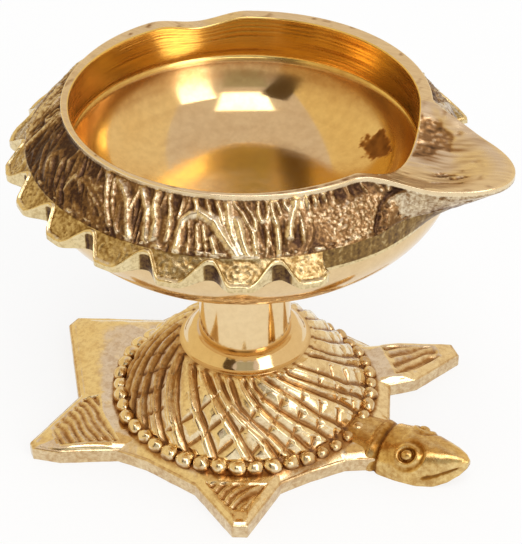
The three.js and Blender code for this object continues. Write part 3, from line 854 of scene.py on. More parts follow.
# Lift (mm) and patina of the bark: ridges, then stipple, then the leaf under the spout
def carveBark(a, share, place):
    ridges, broad = barkRidgeField(a, share, place)
    fromSpout = np.abs(angleFrom(a, 0))[None, :]
    fromSpout = np.where(a[None, :] > 0, fromSpout * bark["farSideFiled"], fromSpout)
    down = share[:, None]
    wander, fine = uneven(place, 0.9, 3), uneven(place, 0.36, 5)
    stipple = 1 - grains(place, bark["stippleGrain"], 7)
    stippleEnd = bark["stippleEnd"] + bark["stippleFlare"] * (1 - down)
    stippled = (1 - smooth(fromSpout, bark["stippleStart"], stippleEnd)) * smooth(down, 0.1, 0.3)
    edge = np.interp(share, [part for part, _ in leafEdge], [angle for _, angle in leafEdge])[:, None]
    leaf = 1 - smooth(fromSpout, edge, edge + bark["leafBlend"])
    crevice = softHump(fromSpout - edge - bark["creviceAside"], bark["creviceHalf"]) * (a[None, :] < 0)

    ridged = ridges * (1 - bark["stippleOver"] * stippled) * bark["ridgeHeight"] - bark["grooveDepth"]
    ridged = ridged + bark["wanderHeight"] * wander + bark["broadHeight"] * broad
    rough = lerp(ridged, bark["stippleHeight"] * (stipple - bark["stippleMiddle"]) + 0.1 * wander, stippled)
    nubs = smooth(down, bark["nubStart"], bark["nubFull"]) * (1 - smooth(down, bark["nubFade"], 1.0))
    nubs = nubs * smooth(lumps(place, bark["nubSize"], 15), 0.45, 0.75)
    rough = np.maximum(rough, -0.3 + bark["nubHeight"] * nubs)
    pitted = smooth(lumps(place, 1.3, 17) + 0.25 * down, 0.62, 0.8)
    pits = pitted * smooth(-grains(place, bark["pitMm"], 19), -0.45, -0.2)
    calm = bark["leafLift"] + 0.06 * wander - bark["leafPits"] * pits
    height = lerp(rough, calm, leaf) - bark["creviceDepth"] * crevice
    fade = smooth(down, -0.01, 0.05) * (1 - smooth(down, 0.95, 1.0))

    golden = smooth(lumps(place, bark["goldenMm"], 21) + 0.25 * (0.5 - down), 0.4, 0.75)
    dark = bark["grooveMark"] - bark["rubbed"] * smooth(height + 0.12 * fine, -0.34, 0.36)
    dark = dark * (1 - bark["goldenShare"] * golden * smooth(height, -0.4, 0.1))
    # darker round toward the back
    dark = dark + bark["backDarkMark"] * smooth(-a, bark["backDarkStart"], bark["backDarkEnd"])[None, :]
    dark = lerp(dark, bark["stippleMark"] + bark["stippleDark"] * (1 - stipple) + 0.2 * fine, stippled)
    leafDark = bark["leafMark"] + bark["leafPitMark"] * smooth(down, 0.2, 0.9) * pitted
    leafDark = leafDark + bark["leafLowMark"] * smooth(bark["leafLift"] - calm, 0.02, 0.2)
    patinaAndShade = lerp(dark, leafDark + 0.2 * wander, leaf) + bark["creviceMark"] * crevice
    return (height + bark["fineHeight"] * fine * (1 - 0.5 * leaf)) * fade, patinaAndShade


# The scroll on each crest of the frill (mm): a spiral round a boss, and a raised lip along the wave
scroll = {
    "pitch": 9.7, "slopeStretch": 1.37, "crestPhase": 0.44, "crestUp": 2.25,
    "ovalWide": 2.0, "ovalTall": 1.35, "coilStart": 0.3,
    "coilPitch": 0.45, "coilHalf": 0.13, "bossHalf": 0.26, "coilHeight": 0.12,
    "lipAside": 0.36, "lipHalf": 0.42, "lipSpread": 0.12, "lipHeight": 0.46, "veinHeight": 0.11,
    "sunk": 0.16, "waveHeight": 0.07, "gritHeight": 0.1,
    "topMark": 0.08, "lowMark": 0.44, "gritMark": 0.22, "lipRubbed": 0.3,
    "stripHeight": 0.05, "stripMark": 0.6, "strokeMark": 0.3, "notchHeight": 0.05, "notchBrownAndShade": 0.78,
}


# Lift (mm) and patina of the frill's top, with the filed strip that it becomes under the spout
def carveFrill(a, place):
    phase = scallopPhase(a)[None, :]
    radial = np.hypot(place[..., 0], place[..., 1])
    toEdge = (frillRadiusAt(a)[None, :] - radial) * scroll["slopeStretch"]
    fromFoot = (radial - bowl["barkFootRadius"]) * scroll["slopeStretch"]
    across = ((phase - scroll["crestPhase"] + 0.5) % 1 - 0.5) * scroll["pitch"]
    up = fromFoot - scroll["crestUp"]
    turn = (np.degrees(np.arctan2(up, across)) % fullTurn) / fullTurn
    oval = np.hypot(across / scroll["ovalWide"], up / scroll["ovalTall"])
    inCoil = oval - scroll["coilStart"] - scroll["coilPitch"] * turn
    coil = np.minimum(np.abs(inCoil), np.abs(inCoil - scroll["coilPitch"]))
    coil = hump(coil, scroll["coilHalf"]) * (oval < 1.3)
    lipHalf = scroll["lipHalf"] + scroll["lipSpread"] * smooth(phase, -0.4, -0.1)
    lipLine = hump(toEdge - scroll["lipAside"], lipHalf)
    veins = 1 - np.abs(2 * lumps(place, 0.9, 25) - 1)
    grit = uneven(place, 0.42, 27)
    height = scroll["coilHeight"] * np.maximum(coil, hump(oval, scroll["bossHalf"]))
    height = np.maximum(np.maximum(height, scroll["veinHeight"] * veins ** 2), scroll["lipHeight"] * lipLine)
    height = height - scroll["sunk"] + scroll["waveHeight"] * uneven(place, 0.8, 11)
    height = height + scroll["gritHeight"] * grit
    inner = smooth(fromFoot, -0.1, 0.3) * smooth(toEdge, -0.05, 0.1)
    tone = scroll["topMark"] + scroll["lowMark"] * (1 - smooth(height, -0.18, 0.05))
    tone = tone + scroll["gritMark"] * grit - scroll["lipRubbed"] * lipLine
    files = uneven(np.stack([a[None, :] * 1.4 + 0 * radial, 0 * radial, radial / 3], -1), 1.0, 28)
    on = hasFrill(a)[None, :]
    strip = scroll["stripMark"] + scroll["strokeMark"] * files + scroll["strokeMark"] * grit
    return np.where(on, height * inner, scroll["stripHeight"] * files), np.where(on, tone, strip)


# Lift (mm) and patina of the frill's edge: the notches' walls keep the casting's brown, darkened
# further by painted shade, with the graver's upright marks
def carveNotches(a, share):
    streak = uneven(np.stack([a[None, :] * 1.6 + 0 * share[:, None]] * 3, -1), 1.0, 13)
    drum = drumShare(a)[None, :] * hasFrill(a)[None, :]
    return scroll["notchHeight"] * drum * streak, drum * (scroll["notchBrownAndShade"] + 0.4 * streak) + 0.06


# The rough patch on the spout's floor, brown and darkened further with painted shade: its middle and
# half length (mm from the stem's axis), and how its half width shrinks along the spout
spoutPatch = {
    "middle": (27.4, 6.2), "long": 5.6, "wide": 4.2, "taper": 0.28, "grainMm": 0.5,
    "depth": 0.12, "rough": 0.3, "mark": 0.62,
}

# The rest of the spout's floor (mm): file strokes, the broader sweeps between them, and the pits
spoutFloor = {
    "strokeHeight": 0.09, "strokeMark": 0.5, "sweepHeight": 0.12, "sweepMark": 0.6,
    "calmStart": 34, "calmEnd": 40, "pitDepth": 0.35, "pitMark": 0.8, "rimBrownAndShade": 0.34,
}


# Lift (mm) and patina of the rim land and the spout's floor: the brown patch by the cup with painted
# shade on it, file strokes out to the tip and a few pits
def fileSpout(a, share, place):
    x, y = place[..., 0], place[..., 1]
    floor = smooth(bell(a, 0, bowl["spoutHalf"])[None, :], 0.05, 0.35)
    fromMiddle = x - spoutPatch["middle"][0]
    halfWide = spoutPatch["wide"] - spoutPatch["taper"] * fromMiddle
    patch = 1 - np.hypot(fromMiddle / spoutPatch["long"], (y - spoutPatch["middle"][1]) / halfWide)
    patch = smooth(np.clip(patch, 0, 1) + 0.5 * uneven(place, 1.2, 29), 0.08, 0.3)
    strokes = uneven(np.stack([x * 0.16, (y - 0.08 * x) * 2.6, 0 * x], -1), 1.0, 31)
    sweeps = uneven(np.stack([x * 0.3, (y - 0.3 * x) * 1.1, 0 * x], -1), 1.0, 33)
    nearCup = 1 - smooth(x, spoutFloor["calmStart"], spoutFloor["calmEnd"])
    pits = np.zeros(x.shape)
    for pit in spoutPits:
        toPit = lineDistance(x, y, pit["line"]) + 0.3 * uneven(place, 0.6, 35)
        pits = np.maximum(pits, 1 - smooth(toPit, 0.5 * pit["width"], pit["width"]))
    lift = spoutFloor["strokeHeight"] * strokes * (0.35 + 0.65 * nearCup)
    lift = lift + spoutFloor["sweepHeight"] * sweeps * nearCup - spoutPatch["depth"] * patch
    lift = lift + spoutPatch["rough"] * patch * uneven(place, spoutPatch["grainMm"], 37)
    lift = floor * lift - spoutFloor["pitDepth"] * pits
    tone = 0.08 + spoutPatch["mark"] * patch * (0.75 + 1.1 * uneven(place, 0.55, 39))
    worked = np.maximum(spoutFloor["strokeMark"] * strokes + spoutFloor["sweepMark"] * sweeps, 0)
    tone = tone + spoutFloor["pitMark"] * pits + floor * nearCup * worked
    # the casting's brown comes up over the rim beside the spout, with painted shade along its outer edge by
    # the bark
    beside = (smooth(-a, 17, 25) * (1 - smooth(-a, 44, 60)))[None, :]
    beside = beside * (1 - smooth(share, 0.45, 0.9))[:, None]
    return lift, tone + beside * (spoutFloor["rimBrownAndShade"] + 0.6 * uneven(place, 0.7, 56))


# Lift (mm) and patina of the rings that the lathe's tool left, coarse on the wall, faint on the dish
def turnRings(a, count, depth, tone):
    ring = np.arange(count)[:, None] + 0 * a[None, :]
    around = np.abs(angleFrom(a, 0))[None, :] / 40 + 0 * ring
    mark = uneven(np.stack([ring / 1.6, around, around], -1), 1.0, 91)
    return depth * mark, 0.03 + tone * smooth(mark, -0.1, 0.5)


# Patina that the dish has on top of its rings: the stain, and up its curl less polish with painted shade
def stainAndShadeDish(place):
    x, y = place[..., 0] - dishStainAndShade["place"][0], place[..., 1] - dishStainAndShade["place"][1]
    lean = math.radians(dishStainAndShade["lean"])
    reach = np.hypot((x * math.cos(lean) + y * math.sin(lean)) / dishStainAndShade["long"],
                     (y * math.cos(lean) - x * math.sin(lean)) / dishStainAndShade["wide"])
    reach = reach + dishStainAndShade["ragged"] * uneven(place, dishStainAndShade["raggedMm"], 55)
    stain = 1 - smooth(reach + 0.5 * uneven(place, 0.6, 57), 0.8, 1.05)
    curl = smooth(np.hypot(place[..., 0], place[..., 1]), dishStainAndShade["curlStart"], dishStainAndShade["curlEnd"])
    return stain * (dishStainAndShade["mark"] + 0.3 * uneven(place, 0.8, 59)) + dishStainAndShade["curlDullAndShade"] * curl


def makeBowl():
    a = anglesRound(bowl["columns"], -fullTurn / 2)
    bands, share, grid, own = gridOf(bowlRows(a), a)
    normal = outward(gridNormals(grid), (bands.index("bark"), 0), (-1.0, 0, 0))
    lift = np.zeros(grid.shape[:2])
    patinaAndShade = np.zeros(grid.shape[:2])
    for name, finished in (
        ("bark", carveBark(a, share[own["bark"]], grid[own["bark"]])),
        ("frill", carveFrill(a, grid[own["frill"]])),
        ("frillEdge", carveNotches(a, share[own["frillEdge"]])),
        ("land", fileSpout(a, share[own["land"]], grid[own["land"]])),
        ("wall", turnRings(a, own["wall"].sum(), bowl["wallRings"], bowl["wallMark"])),
        ("dish", turnRings(a, own["dish"].sum(), bowl["dishRings"], bowl["dishMark"])),
    ):
        lift[own[name]], patinaAndShade[own[name]] = finished
    patinaAndShade[own["underside"]] = 0.06 + 0.05 * lumps(grid[own["underside"]], 2.0, 23)
    patinaAndShade[own["dish"]] += stainAndShadeDish(grid[own["dish"]])

    grid = grid + normal * lift[..., None]
    finish = {"hole": 0, "boss": 0, "underside": 0, "frillUnder": 2, "frillEdge": 2, "frill": 2, "bark": 1,
              "lip": 3, "land": 3, "cupEdge": 5, "wall": 5, "dish": 4}
    materials = [buffedTurnedBrass, castBarkBrass, carvedScrollBrass, filedBrass, spunCupBrass,
                 turnedWallBrass]
    piece = gridPiece("bowl", grid, patinaAndShade, materials, 52, rowMaterial=[finish[band] for band in bands])
    handOver(piece, "oil_bowl")
    print("bowl:", len(bands), "rows,", len(a), "columns")


makeBowl()


# a ring of one profile (radius and height) with a mark for each of its points
def lathePiece(name, profile, marks, material, node, columns=192):
    a = anglesRound(columns)
    grid = np.stack([spun(r + 0 * a, z + 0 * a, a) for r, z in profile])
    patinaAndShade = np.repeat(np.array(marks)[:, None], columns, 1)
    piece = gridPiece(name, grid, patinaAndShade, [material], 50, wrapRows=True)
    handOver(piece, node)


stem = {
    "topRadius": 7.3, "footRadius": 7.85, "rows": 40, "ringDepth": 0.006, "ringPitch": 0.7,
    "endShare": 30, "footDarkening": 0.35, "topDarkening": 0.3, "boreMark": 0.3,
}


def makeStem():
    profile = [(boreRadius, stemTop), (boreRadius, collarTop)]
    marks = [stem["boreMark"]] * 2
    for step in range(stem["rows"] + 1):
        share = step / stem["rows"]
        height = lerp(collarTop, stemTop, share)
        ring = stem["ringDepth"] * math.sin(height / stem["ringPitch"] * 2 * math.pi)
        profile.append((lerp(stem["footRadius"], stem["topRadius"], share) + ring, height))
        # darker in a thin band at each end, where the stem meets the collar and the bowl
        marks.append(0.02 + stem["footDarkening"] * max(1 - share * stem["endShare"], 0)
                     + stem["topDarkening"] * max(1 - (1 - share) * stem["endShare"], 0))
    lathePiece("stem", profile[::-1], marks[::-1], buffedTurnedBrass, "stem_sleeve")


collar = {
    "radius": 11.2, "shoulder": 8.8, "shoulderTop": 0.96, "neck": 10.45, "flareTop": 0.15,
    "middle": 0.55, "middleTop": 0.56, "middleOut": 0.08, "round": 0.42,
    "footBand": 0.3, "footDarkening": 0.25,
}


# a run of points rounded at its corners: each corner becomes a short arc
def rounded(points, cut, steps=4):
    out = [points[0]]
    for before, corner, after in zip(points[:-2], points[1:-1], points[2:]):
        corner, before, after = Vector(corner), Vector(before), Vector(after)
        start = corner + (before - corner).normalized() * min(cut, (before - corner).length * 0.45)
        end = corner + (after - corner).normalized() * min(cut, (after - corner).length * 0.45)
        for step in range(steps + 1):
            share = step / steps
            point = start * (1 - share) ** 2 + corner * 2 * share * (1 - share) + end * share ** 2
            out.append((point.x, point.y))
    out.append(points[-1])
    return out


def makeCollar():
    height = collarTop - crownHeight
    outer = rounded([
        (stem["footRadius"], collarTop),
        (collar["shoulder"], crownHeight + height * collar["shoulderTop"]),
        (lerp(collar["shoulder"], collar["neck"], collar["middle"]) + collar["middleOut"],
         crownHeight + height * collar["middleTop"]),
        (collar["neck"], crownHeight + height * collar["flareTop"]),
        (collar["radius"], crownHeight + 0.1),
        (collar["radius"] - 0.06, crownHeight),
    ], collar["round"])
    profile = [(boreRadius, crownHeight), (boreRadius, collarTop)] + outer
    marks = [stem["boreMark"]] * 2
    for _, z in outer:
        # painted shadow in a thin band at the collar's foot, where it sits on the shell
        marks.append(0.04 + collar["footDarkening"] * max(1 - (z - crownHeight) / collar["footBand"], 0))
    lathePiece("collar", profile, marks, buffedTurnedBrass, "collar_ring")


makeStem()
makeCollar()
print("stem and collar turned")


tortoise = {
    "columns": 1440, "turn": -2.5,
    "shellRadius": 20.9, "shellFoot": 4.4, "crownRadius": 11.6, "shellSwell": 0.8,
    "crownThickness": 2.6, "shellWall": 2.3, "hollowMouth": 18.4,
    "flangeEdge": 2.5, "flangeRoot": 3.5, "limbCrown": 0.8, "limbCrownStart": 2.0, "limbCrownLength": 8.0,
    "rowsFlange": 46, "rowsShell": 92, "rowsHollow": 10, "edgeRound": 0.45, "shellSlope": 14.5,
    "netWander": 0.3, "grooveHalf": 0.3, "grooveDepth": 0.34, "crossDepth": 0.85,
    "ribHalf": 0.45, "ribHeight": 0.2, "ribAside": 0.85, "ribBelow": 0.3,
    "plateHeight": 0.32, "plateHalf": 1.5, "shellUneven": 0.16, "grooveMark": 0.55, "tailSideDark": 0.3,
    "panelDepth": 0.38, "panelInset": 1.3, "panelEdge": 0.45, "combHeight": 0.14, "combMark": 0.22,
    "panelMark": 0.26, "rimInset": 0.62, "rimHalf": 0.5, "rimHeight": 0.14, "flangeMark": 0.05,
}

# Each limb's angle from the head, its reach and blunt tip, then the flange's corners up to the next
limbs = [
    (47.8, 39.6, 3.2, [(54.8, 32.6), (59.5, 26.1), (85, 24), (105.6, 26)]),
    (118.5, 32.6, 2.8, [(157.5, 25.7)]),
    (178.4, 37.7, 2.6, [(213.8, 29.1)]),
    (232.3, 38.6, 1.6, [(238, 34.9), (246.9, 26.4), (258, 24.3), (281.9, 25.3)]),
    (299.4, 33.6, 2.4, [(314.7, 24.3), (328.6, 23.4), (343.3, 24.6)]),
    (1, 29, 8, [(14.3, 25.8), (34.2, 25.5), (36.4, 30.4)]),
]

# Grooves of the net that lean to the right going down, with a raised rib beside each: angle from
# the head and share of the way up the shell
leaningGrooves = [
    [(-122, 1.02), (-118.3, .92), (-108.1, .71), (-101.5, .51), (-94.7, .31), (-86, -.02)],
    [(-106, 1.02), (-103, .94), (-96.1, .81), (-90.4, .66), (-85.4, .51), (-79.9, .36), (-74.4, .14),
     (-71, -.02)],
    [(-94, 1.02), (-90.5, .96), (-83.1, .84), (-77.5, .73), (-70.9, .58), (-64.5, .41), (-59.1, .21),
     (-54, -.02)],
    [(-82, 1.02), (-74, .84), (-66, .65), (-57, .47), (-50, .3), (-43, -.02)],
    [(-72, 1.02), (-68.9, .92), (-62.2, .65), (-53.6, .47), (-44.1, .27), (-36, -.02)],
    [(-60, 1.02), (-57.8, .92), (-50, .66), (-42, .46), (-33, .22), (-27, -.02)],
    [(-53, 1.02), (-51.8, .89), (-46, .74), (-38, .58), (-30, .4), (-21, .2), (-15, -.02)],
    [(-45.4, 1.02), (-34.2, .82), (-24.3, .6), (-16.2, .34), (-9.5, .16), (-5, -.02)],
    [(-34, 1.02), (-30, .93), (-16, .68), (-6, .46), (3, .2), (8, -.02)],
    [(-24, 1.02), (-22.3, .93), (-7.1, .66), (4, .4), (14, .15), (19, -.02)],
    [(-14.7, 1.02), (5.8, .61), (12.3, .39), (24, .12), (29, -.02)],
    [(2, 1.02), (25.6, .46), (42, -.02)],
]
# Beyond those the same net goes on evenly round the far side, and a second, shallower set of
# grooves leans the other way across it
evenNet = {"first": 14, "last": 240, "step": 13.2, "lean": 37}
crossNet = {"first": -214, "last": 150, "step": 15.5, "lean": 36}


def netLines():
    leaning = [[(start + evenNet["lean"] * (1 - up) ** 1.15, up) for up in (1, .75, .5, .25, 0)]
               for start in np.arange(evenNet["first"], evenNet["last"], evenNet["step"])]
    crossing = [[(start + crossNet["lean"] * up, up) for up in (-.02, .25, .5, .78)]
                for start in np.arange(crossNet["first"], crossNet["last"], crossNet["step"])]
    return leaningGrooves + leaning, crossing


def flangeCorners():
    corners = []
    for angle, reach, tip, valley in limbs:
        half = math.degrees(math.atan(tip / 2 / reach))
        corners += [(angle - half, reach), (angle + half, reach)] + valley
    return corners


def flangeReach(a, corners):
    reach = np.full(a.shape, 0.0)
    for index, (startAngle, startRadius) in enumerate(corners):
        endAngle, endRadius = corners[(index + 1) % len(corners)]
        span = math.radians(angleFrom(endAngle, startAngle))
        turn = np.radians(angleFrom(a, startAngle))
        inside = (turn >= 0) & (turn < span)
        across = np.where(inside, startRadius * np.sin(turn) + endRadius * np.sin(span - turn), 1)
        reach = np.where(inside, startRadius * endRadius * math.sin(span) / across, reach)
    return reach


def shellArc(footRadius, footHeight, topRadius, topHeight, swell, steps):
    run = np.array([topRadius - footRadius, topHeight - footHeight])
    out = np.array([run[1], -run[0]]) / np.linalg.norm(run)
    points = []
    for step in range(steps + 1):
        share = step / steps
        bulge = out * swell * 4 * share * (1 - share)
        points.append(np.array([footRadius, footHeight]) + run * share + bulge)
    return points


def shellRadiusAt(up):
    return lerp(tortoise["shellRadius"], tortoise["crownRadius"], up)


# Distances in mm to the net's nearest leaning groove, its rib and the nearest crossing groove, at
# each angle from the head and share of the way up
def shellNet(a, share, wobble):
    slope, perDegree = tortoise["shellSlope"], math.radians(1)
    radius = shellRadiusAt(share)[:, None]
    along = share[:, None] * slope + 0 * a[None, :]
    toGroove, toRib, toCross = [np.full(along.shape, 9.0) for _ in range(3)]
    leaning, crossing = netLines()
    for points in leaning + crossing:
        middle = points[0][0]
        near = np.abs(angleFrom(a, middle)) < 66
        across = angleFrom(a, middle)[near][None, :] * perDegree * radius
        line = [(angleFrom(angle, middle) * perDegree * shellRadiusAt(up), up * slope)
                for angle, up in points]
        distance = np.maximum(lineDistance(across, along[:, near], line) + wobble[:, near], 0)
        if points in crossing:
            toCross[:, near] = np.minimum(toCross[:, near], distance)
            continue
        toGroove[:, near] = np.minimum(toGroove[:, near], distance)
        below = along[:, near] + tortoise["ribBelow"]
        beside = lineDistance(across + tortoise["ribAside"], below, line) + wobble[:, near]
        toRib[:, near] = np.minimum(toRib[:, near], np.maximum(beside, 0))
    return toGroove, toRib, toCross


# Lift (mm) and patina of the shell: domed plates between thin grooves, with a rib raised beside
# each leaning one
def carveShell(a, share, place):
    toGroove, toRib, toCross = shellNet(a, share, tortoise["netWander"] * uneven(place, 2.4, 41))
    up = share[:, None]
    crossed = smooth(lumps(place, 5.0, 44) - 0.35 * smooth(up, 0.45, 0.85), 0.12, 0.36)
    front = (smooth(a, -75, -60) * (1 - smooth(a, 15, 30)))[None, :] * (1 - smooth(up, 0.62, 0.8))
    crossed = np.maximum(crossed, front)
    rib = hump(toRib, tortoise["ribHalf"])
    crossCut = tortoise["crossDepth"] * crossed * softHump(toCross, tortoise["grooveHalf"]) * (1 - rib)
    cut = np.maximum(softHump(toGroove, tortoise["grooveHalf"]), crossCut)
    dome = smooth(np.minimum(toGroove, toCross + 3 * (1 - crossed)), 0.15, tortoise["plateHalf"])
    height = tortoise["plateHeight"] * dome - tortoise["grooveDepth"] * cut + tortoise["ribHeight"] * rib
    height = height + tortoise["shellUneven"] * uneven(place, 2.6, 45) + 0.04 * uneven(place, 0.8, 43)
    fade = smooth(up, 0.0, 0.05) * (1 - smooth(up, 0.95, 1.0))
    grime = 0.5 * (1 - smooth(up, 0.0, 0.05)) + 0.12 * uneven(place, 1.6, 46)
    # darker over one flank, from the hind foot round toward the tail
    byTail = (smooth(-a, 92, 125) * (1 - smooth(-a, 160, 175)))[None, :]
    grime = grime + tortoise["tailSideDark"] * byTail
    dark = tortoise["grooveMark"] * cut * (1 - 0.6 * rib) + 0.1 * (1 - dome)
    return height * fade, np.clip(dark + grime + 0.02, 0, 1)


# The feet's combed panels, which the tail doesn't have: middle bearing and half width (degrees),
# start and end (mm from the stem), the run of the grooves (degrees) and their pitch (mm)
combs = [
    {"middle": 47, "half": 12, "start": 26.5, "end": 35.5, "run": 60, "pitch": 2.0},
    {"middle": 122, "half": 16, "start": 24.6, "end": 30.5, "run": 200, "pitch": 1.5},
    {"middle": 230, "half": 14, "start": 25.2, "end": 34.0, "run": -28, "pitch": 1.35},
    {"middle": 299, "half": 13, "start": 24.6, "end": 30.2, "run": 75, "pitch": 1.6},
]


# Lift (mm) and patina of the limbs: inside each foot's raised edge a sunk panel, with combed grooves
def carveLimbs(share, place, corners, inner):
    x, y = place[..., 0], place[..., 1]
    outline = [(r * math.cos(math.radians(t)), r * math.sin(math.radians(t))) for t, r in corners]
    toEdge = lineDistance(x, y, outline + outline[:1])
    radial = np.hypot(x, y)
    inset = tortoise["panelInset"]
    height, dark = np.zeros(x.shape), np.zeros(x.shape)
    wander = 3.0 * uneven(place, 3.4, 48) + 1.2 * uneven(place, 1.2, 50)
    strength = 0.55 + 0.8 * lumps(place, 2.6, 52)
    for comb in combs:
        own = np.abs(angleFrom(np.degrees(np.arctan2(y, x)), comb["middle"])) < comb["half"]
        start, end = comb["start"], comb["end"]
        sunk = smooth(toEdge, inset, inset + tortoise["panelEdge"]) * smooth(radial, start, start + 0.5)
        sunk = sunk * (1 - smooth(radial, end, end + 0.6)) * own
        turn = math.radians(comb["run"])
        wave = np.sin((x * math.sin(turn) - y * math.cos(turn)) / comb["pitch"] * 2 * math.pi + wander)
        height = height - sunk * (tortoise["panelDepth"] - tortoise["combHeight"] * wave * strength)
        dark = dark + sunk * (tortoise["panelMark"] - tortoise["combMark"] * wave * strength)
    rim = hump(toEdge - inset * tortoise["rimInset"], tortoise["rimHalf"]) * smooth(radial, 26.5, 28)
    height = height + tortoise["rimHeight"] * rim + 0.06 * uneven(place, 1.4, 47)
    grime = 0.45 * (1 - smooth(radial, inner, inner + 0.7))
    lift = height * smooth(toEdge, 0.25, 0.6) * (1 - smooth(share, 0.97, 1.0))[:, None]
    dark = np.maximum(dark, grime) + tortoise["flangeMark"] + 0.12 * uneven(place, 2.0, 49)
    return lift, np.clip(dark, 0, 1)


def tortoiseRows(a, reach, inner):
    ceiling = crownHeight - tortoise["crownThickness"]
    wall, mouth = tortoise["shellWall"], tortoise["hollowMouth"]
    rows, row = rowList(a)
    row("bore", boreRadius, crownHeight)
    row("bore", boreRadius, ceiling)
    hollow = shellArc(mouth, tortoise["shellFoot"] - wall / 2, tortoise["crownRadius"] - wall / 2,
                      ceiling, tortoise["shellSwell"], tortoise["rowsHollow"])
    for radius, height in hollow[::-1]:
        row("hollow", radius, height)
    row("hollow", mouth, 0.15)
    row("under", mouth + 0.15, 0.0)
    for share in (0.3, 0.6, 0.97):
        row("under", lerp(mouth + 0.15, reach - 0.2, share), 0.0)
    edge = tortoise["edgeRound"]
    top = tortoise["flangeEdge"]
    row("side", reach - 0.05, 0.06)
    for height in (0.25, 0.7, 1.15, 1.6, top - edge):
        row("side", reach, height)
    for turn in (22, 45, 68, 90):
        turn = math.radians(turn)
        row("side", reach - edge * (1 - math.cos(turn)), top - edge * (1 - math.sin(turn)))
    limbShare = np.clip((reach - inner - tortoise["limbCrownStart"]) / tortoise["limbCrownLength"], 0, 1)
    count = tortoise["rowsFlange"]
    for step in range(1, count + 1):
        share = step / count
        crown = tortoise["limbCrown"] * limbShare * math.sin(math.pi * share)
        height = lerp(top, tortoise["flangeRoot"], share) + crown
        row("flange", lerp(reach - edge, inner, share), height, share)
    for share in (0.35, 0.7):
        row("seat", lerp(inner, tortoise["shellRadius"], share),
            lerp(tortoise["flangeRoot"], tortoise["shellFoot"], share) - 0.1)
    shell = shellArc(tortoise["shellRadius"], tortoise["shellFoot"], tortoise["crownRadius"], crownHeight,
                     tortoise["shellSwell"], tortoise["rowsShell"])
    for step, (radius, height) in enumerate(shell):
        row("shell", radius, height, step / tortoise["rowsShell"])
    row("crown", 6.0, crownHeight)
    return rows


def makeTortoise():
    a = anglesRound(tortoise["columns"], -fullTurn / 2)
    corners = flangeCorners()
    inner = beads["ring"] + beads["radius"] * beads["bedding"]
    bands, share, grid, own = gridOf(tortoiseRows(a, flangeReach(a, corners), inner), a)
    normal = outward(gridNormals(grid, True), (bands.index("shell") + 20, 0), (-1.0, 0, 0))
    lift = np.zeros(grid.shape[:2])
    patinaAndShade = np.full(grid.shape[:2], 0.3)
    shell, flange, side = own["shell"], own["flange"], own["side"]
    lift[shell], patinaAndShade[shell] = carveShell(a, share[shell], grid[shell])
    lift[flange], patinaAndShade[flange] = carveLimbs(share[flange], grid[flange], corners, inner)
    patinaAndShade[own["seat"]] = 0.6
    patinaAndShade[side] = 0.16 + 0.12 * lumps(grid[side], 1.5, 51)
    lift[side] = 0.07 * uneven(grid[side], 1.6, 53)

    grid = grid + normal * lift[..., None]
    grid[..., 2] = np.maximum(grid[..., 2], 0)
    piece = gridPiece("tortoise", grid, patinaAndShade, [castShellBrass], 60, wrapRows=True, turn=tortoise["turn"])
    handOver(piece, "tortoise_base")
    print("tortoise:", len(bands), "rows,", len(a), "columns")


# The ring of beads: toward the head's neck and on the far side they are smaller and duller
beads = {
    "count": 46, "ring": 21.8, "radius": 1.42, "height": 4.1, "farDrop": 0.6, "bedding": 0.75,
    "neckAngle": -8, "neckHalf": 36, "neckShrink": 0.24, "neckDrop": 0.4,
    "farAngle": 65, "farHalf": 80, "farShrink": 0.12, "endDarkening": 0.2,
    "shape": (0.98, 1.08, 0.96), "unlike": 0.16, "ringUnlike": 0.4, "dents": 0.26, "dentsPerRadius": 1.5,
    "footPatinaAndShade": 0.74, "topMark": 0.06,
}


# a ball of triangles, one mm in radius
def ballPoints():
    seed = bmesh.new()
    bmesh.ops.create_icosphere(seed, subdivisions=3, radius=1.0)
    points = np.array([v.co[:] for v in seed.verts])
    triangles = [[v.index for v in f.verts] for f in seed.faces]
    seed.free()
    return points, triangles


def makeBeads():
    points, faces, marks = [], [], []
    base, triangles = ballPoints()
    long, wide, tall = beads["shape"]
    unlike = beads["unlike"]
    for bead in range(beads["count"]):
        angle = bead / beads["count"] * fullTurn
        turn = math.radians(angle)
        key = np.array([[bead, 4, 9]])
        jitter = [float(hashed(key, seedNumber)[0]) - 0.5 for seedNumber in (61, 62, 63, 64)]
        atNeck = float(bell(angle, beads["neckAngle"], beads["neckHalf"]))
        farSide = float(bell(angle, beads["farAngle"], beads["farHalf"]))
        size = 1.0 + unlike * jitter[0] - beads["neckShrink"] * atNeck - beads["farShrink"] * farSide
        size = beads["radius"] * size
        local = base * size * np.array([long + unlike * jitter[1], wide, tall + 0.12 * jitter[2]])
        bumps = uneven(base * beads["dentsPerRadius"] + bead * 7.0, 1.0, 67)
        local = local * (1 + beads["dents"] * bumps[:, None])
        radius = beads["ring"] + beads["ringUnlike"] * jitter[3]
        level = beads["height"] - beads["farDrop"] * max(math.sin(turn), 0) - beads["neckDrop"] * atNeck
        x = local[:, 0] * math.cos(turn) - local[:, 1] * math.sin(turn) + radius * math.cos(turn)
        y = local[:, 0] * math.sin(turn) + local[:, 1] * math.cos(turn) + radius * math.sin(turn)
        start = bead * len(base)
        points.append(np.stack([x, y, local[:, 2] + level], -1))
        faces += [[start + i for i in face] for face in triangles]
        # painted shade on each bead's lower half, over the patina in the crevice at its foot
        top = smooth(base[:, 2] + 0.5 * bumps, -0.35, 0.55)
        marks.append(lerp(beads["footPatinaAndShade"], beads["topMark"], top) + 0.14 * jitter[2]
                     + beads["endDarkening"] * max(atNeck, farSide))
    piece = meshPiece("beadRing", np.vstack(points), faces, np.concatenate(marks), [castShellBrass], None, 80,
                      tortoise["turn"])
    handOver(piece, "tortoise_base")
    print("bead ring:", beads["count"], "beads")


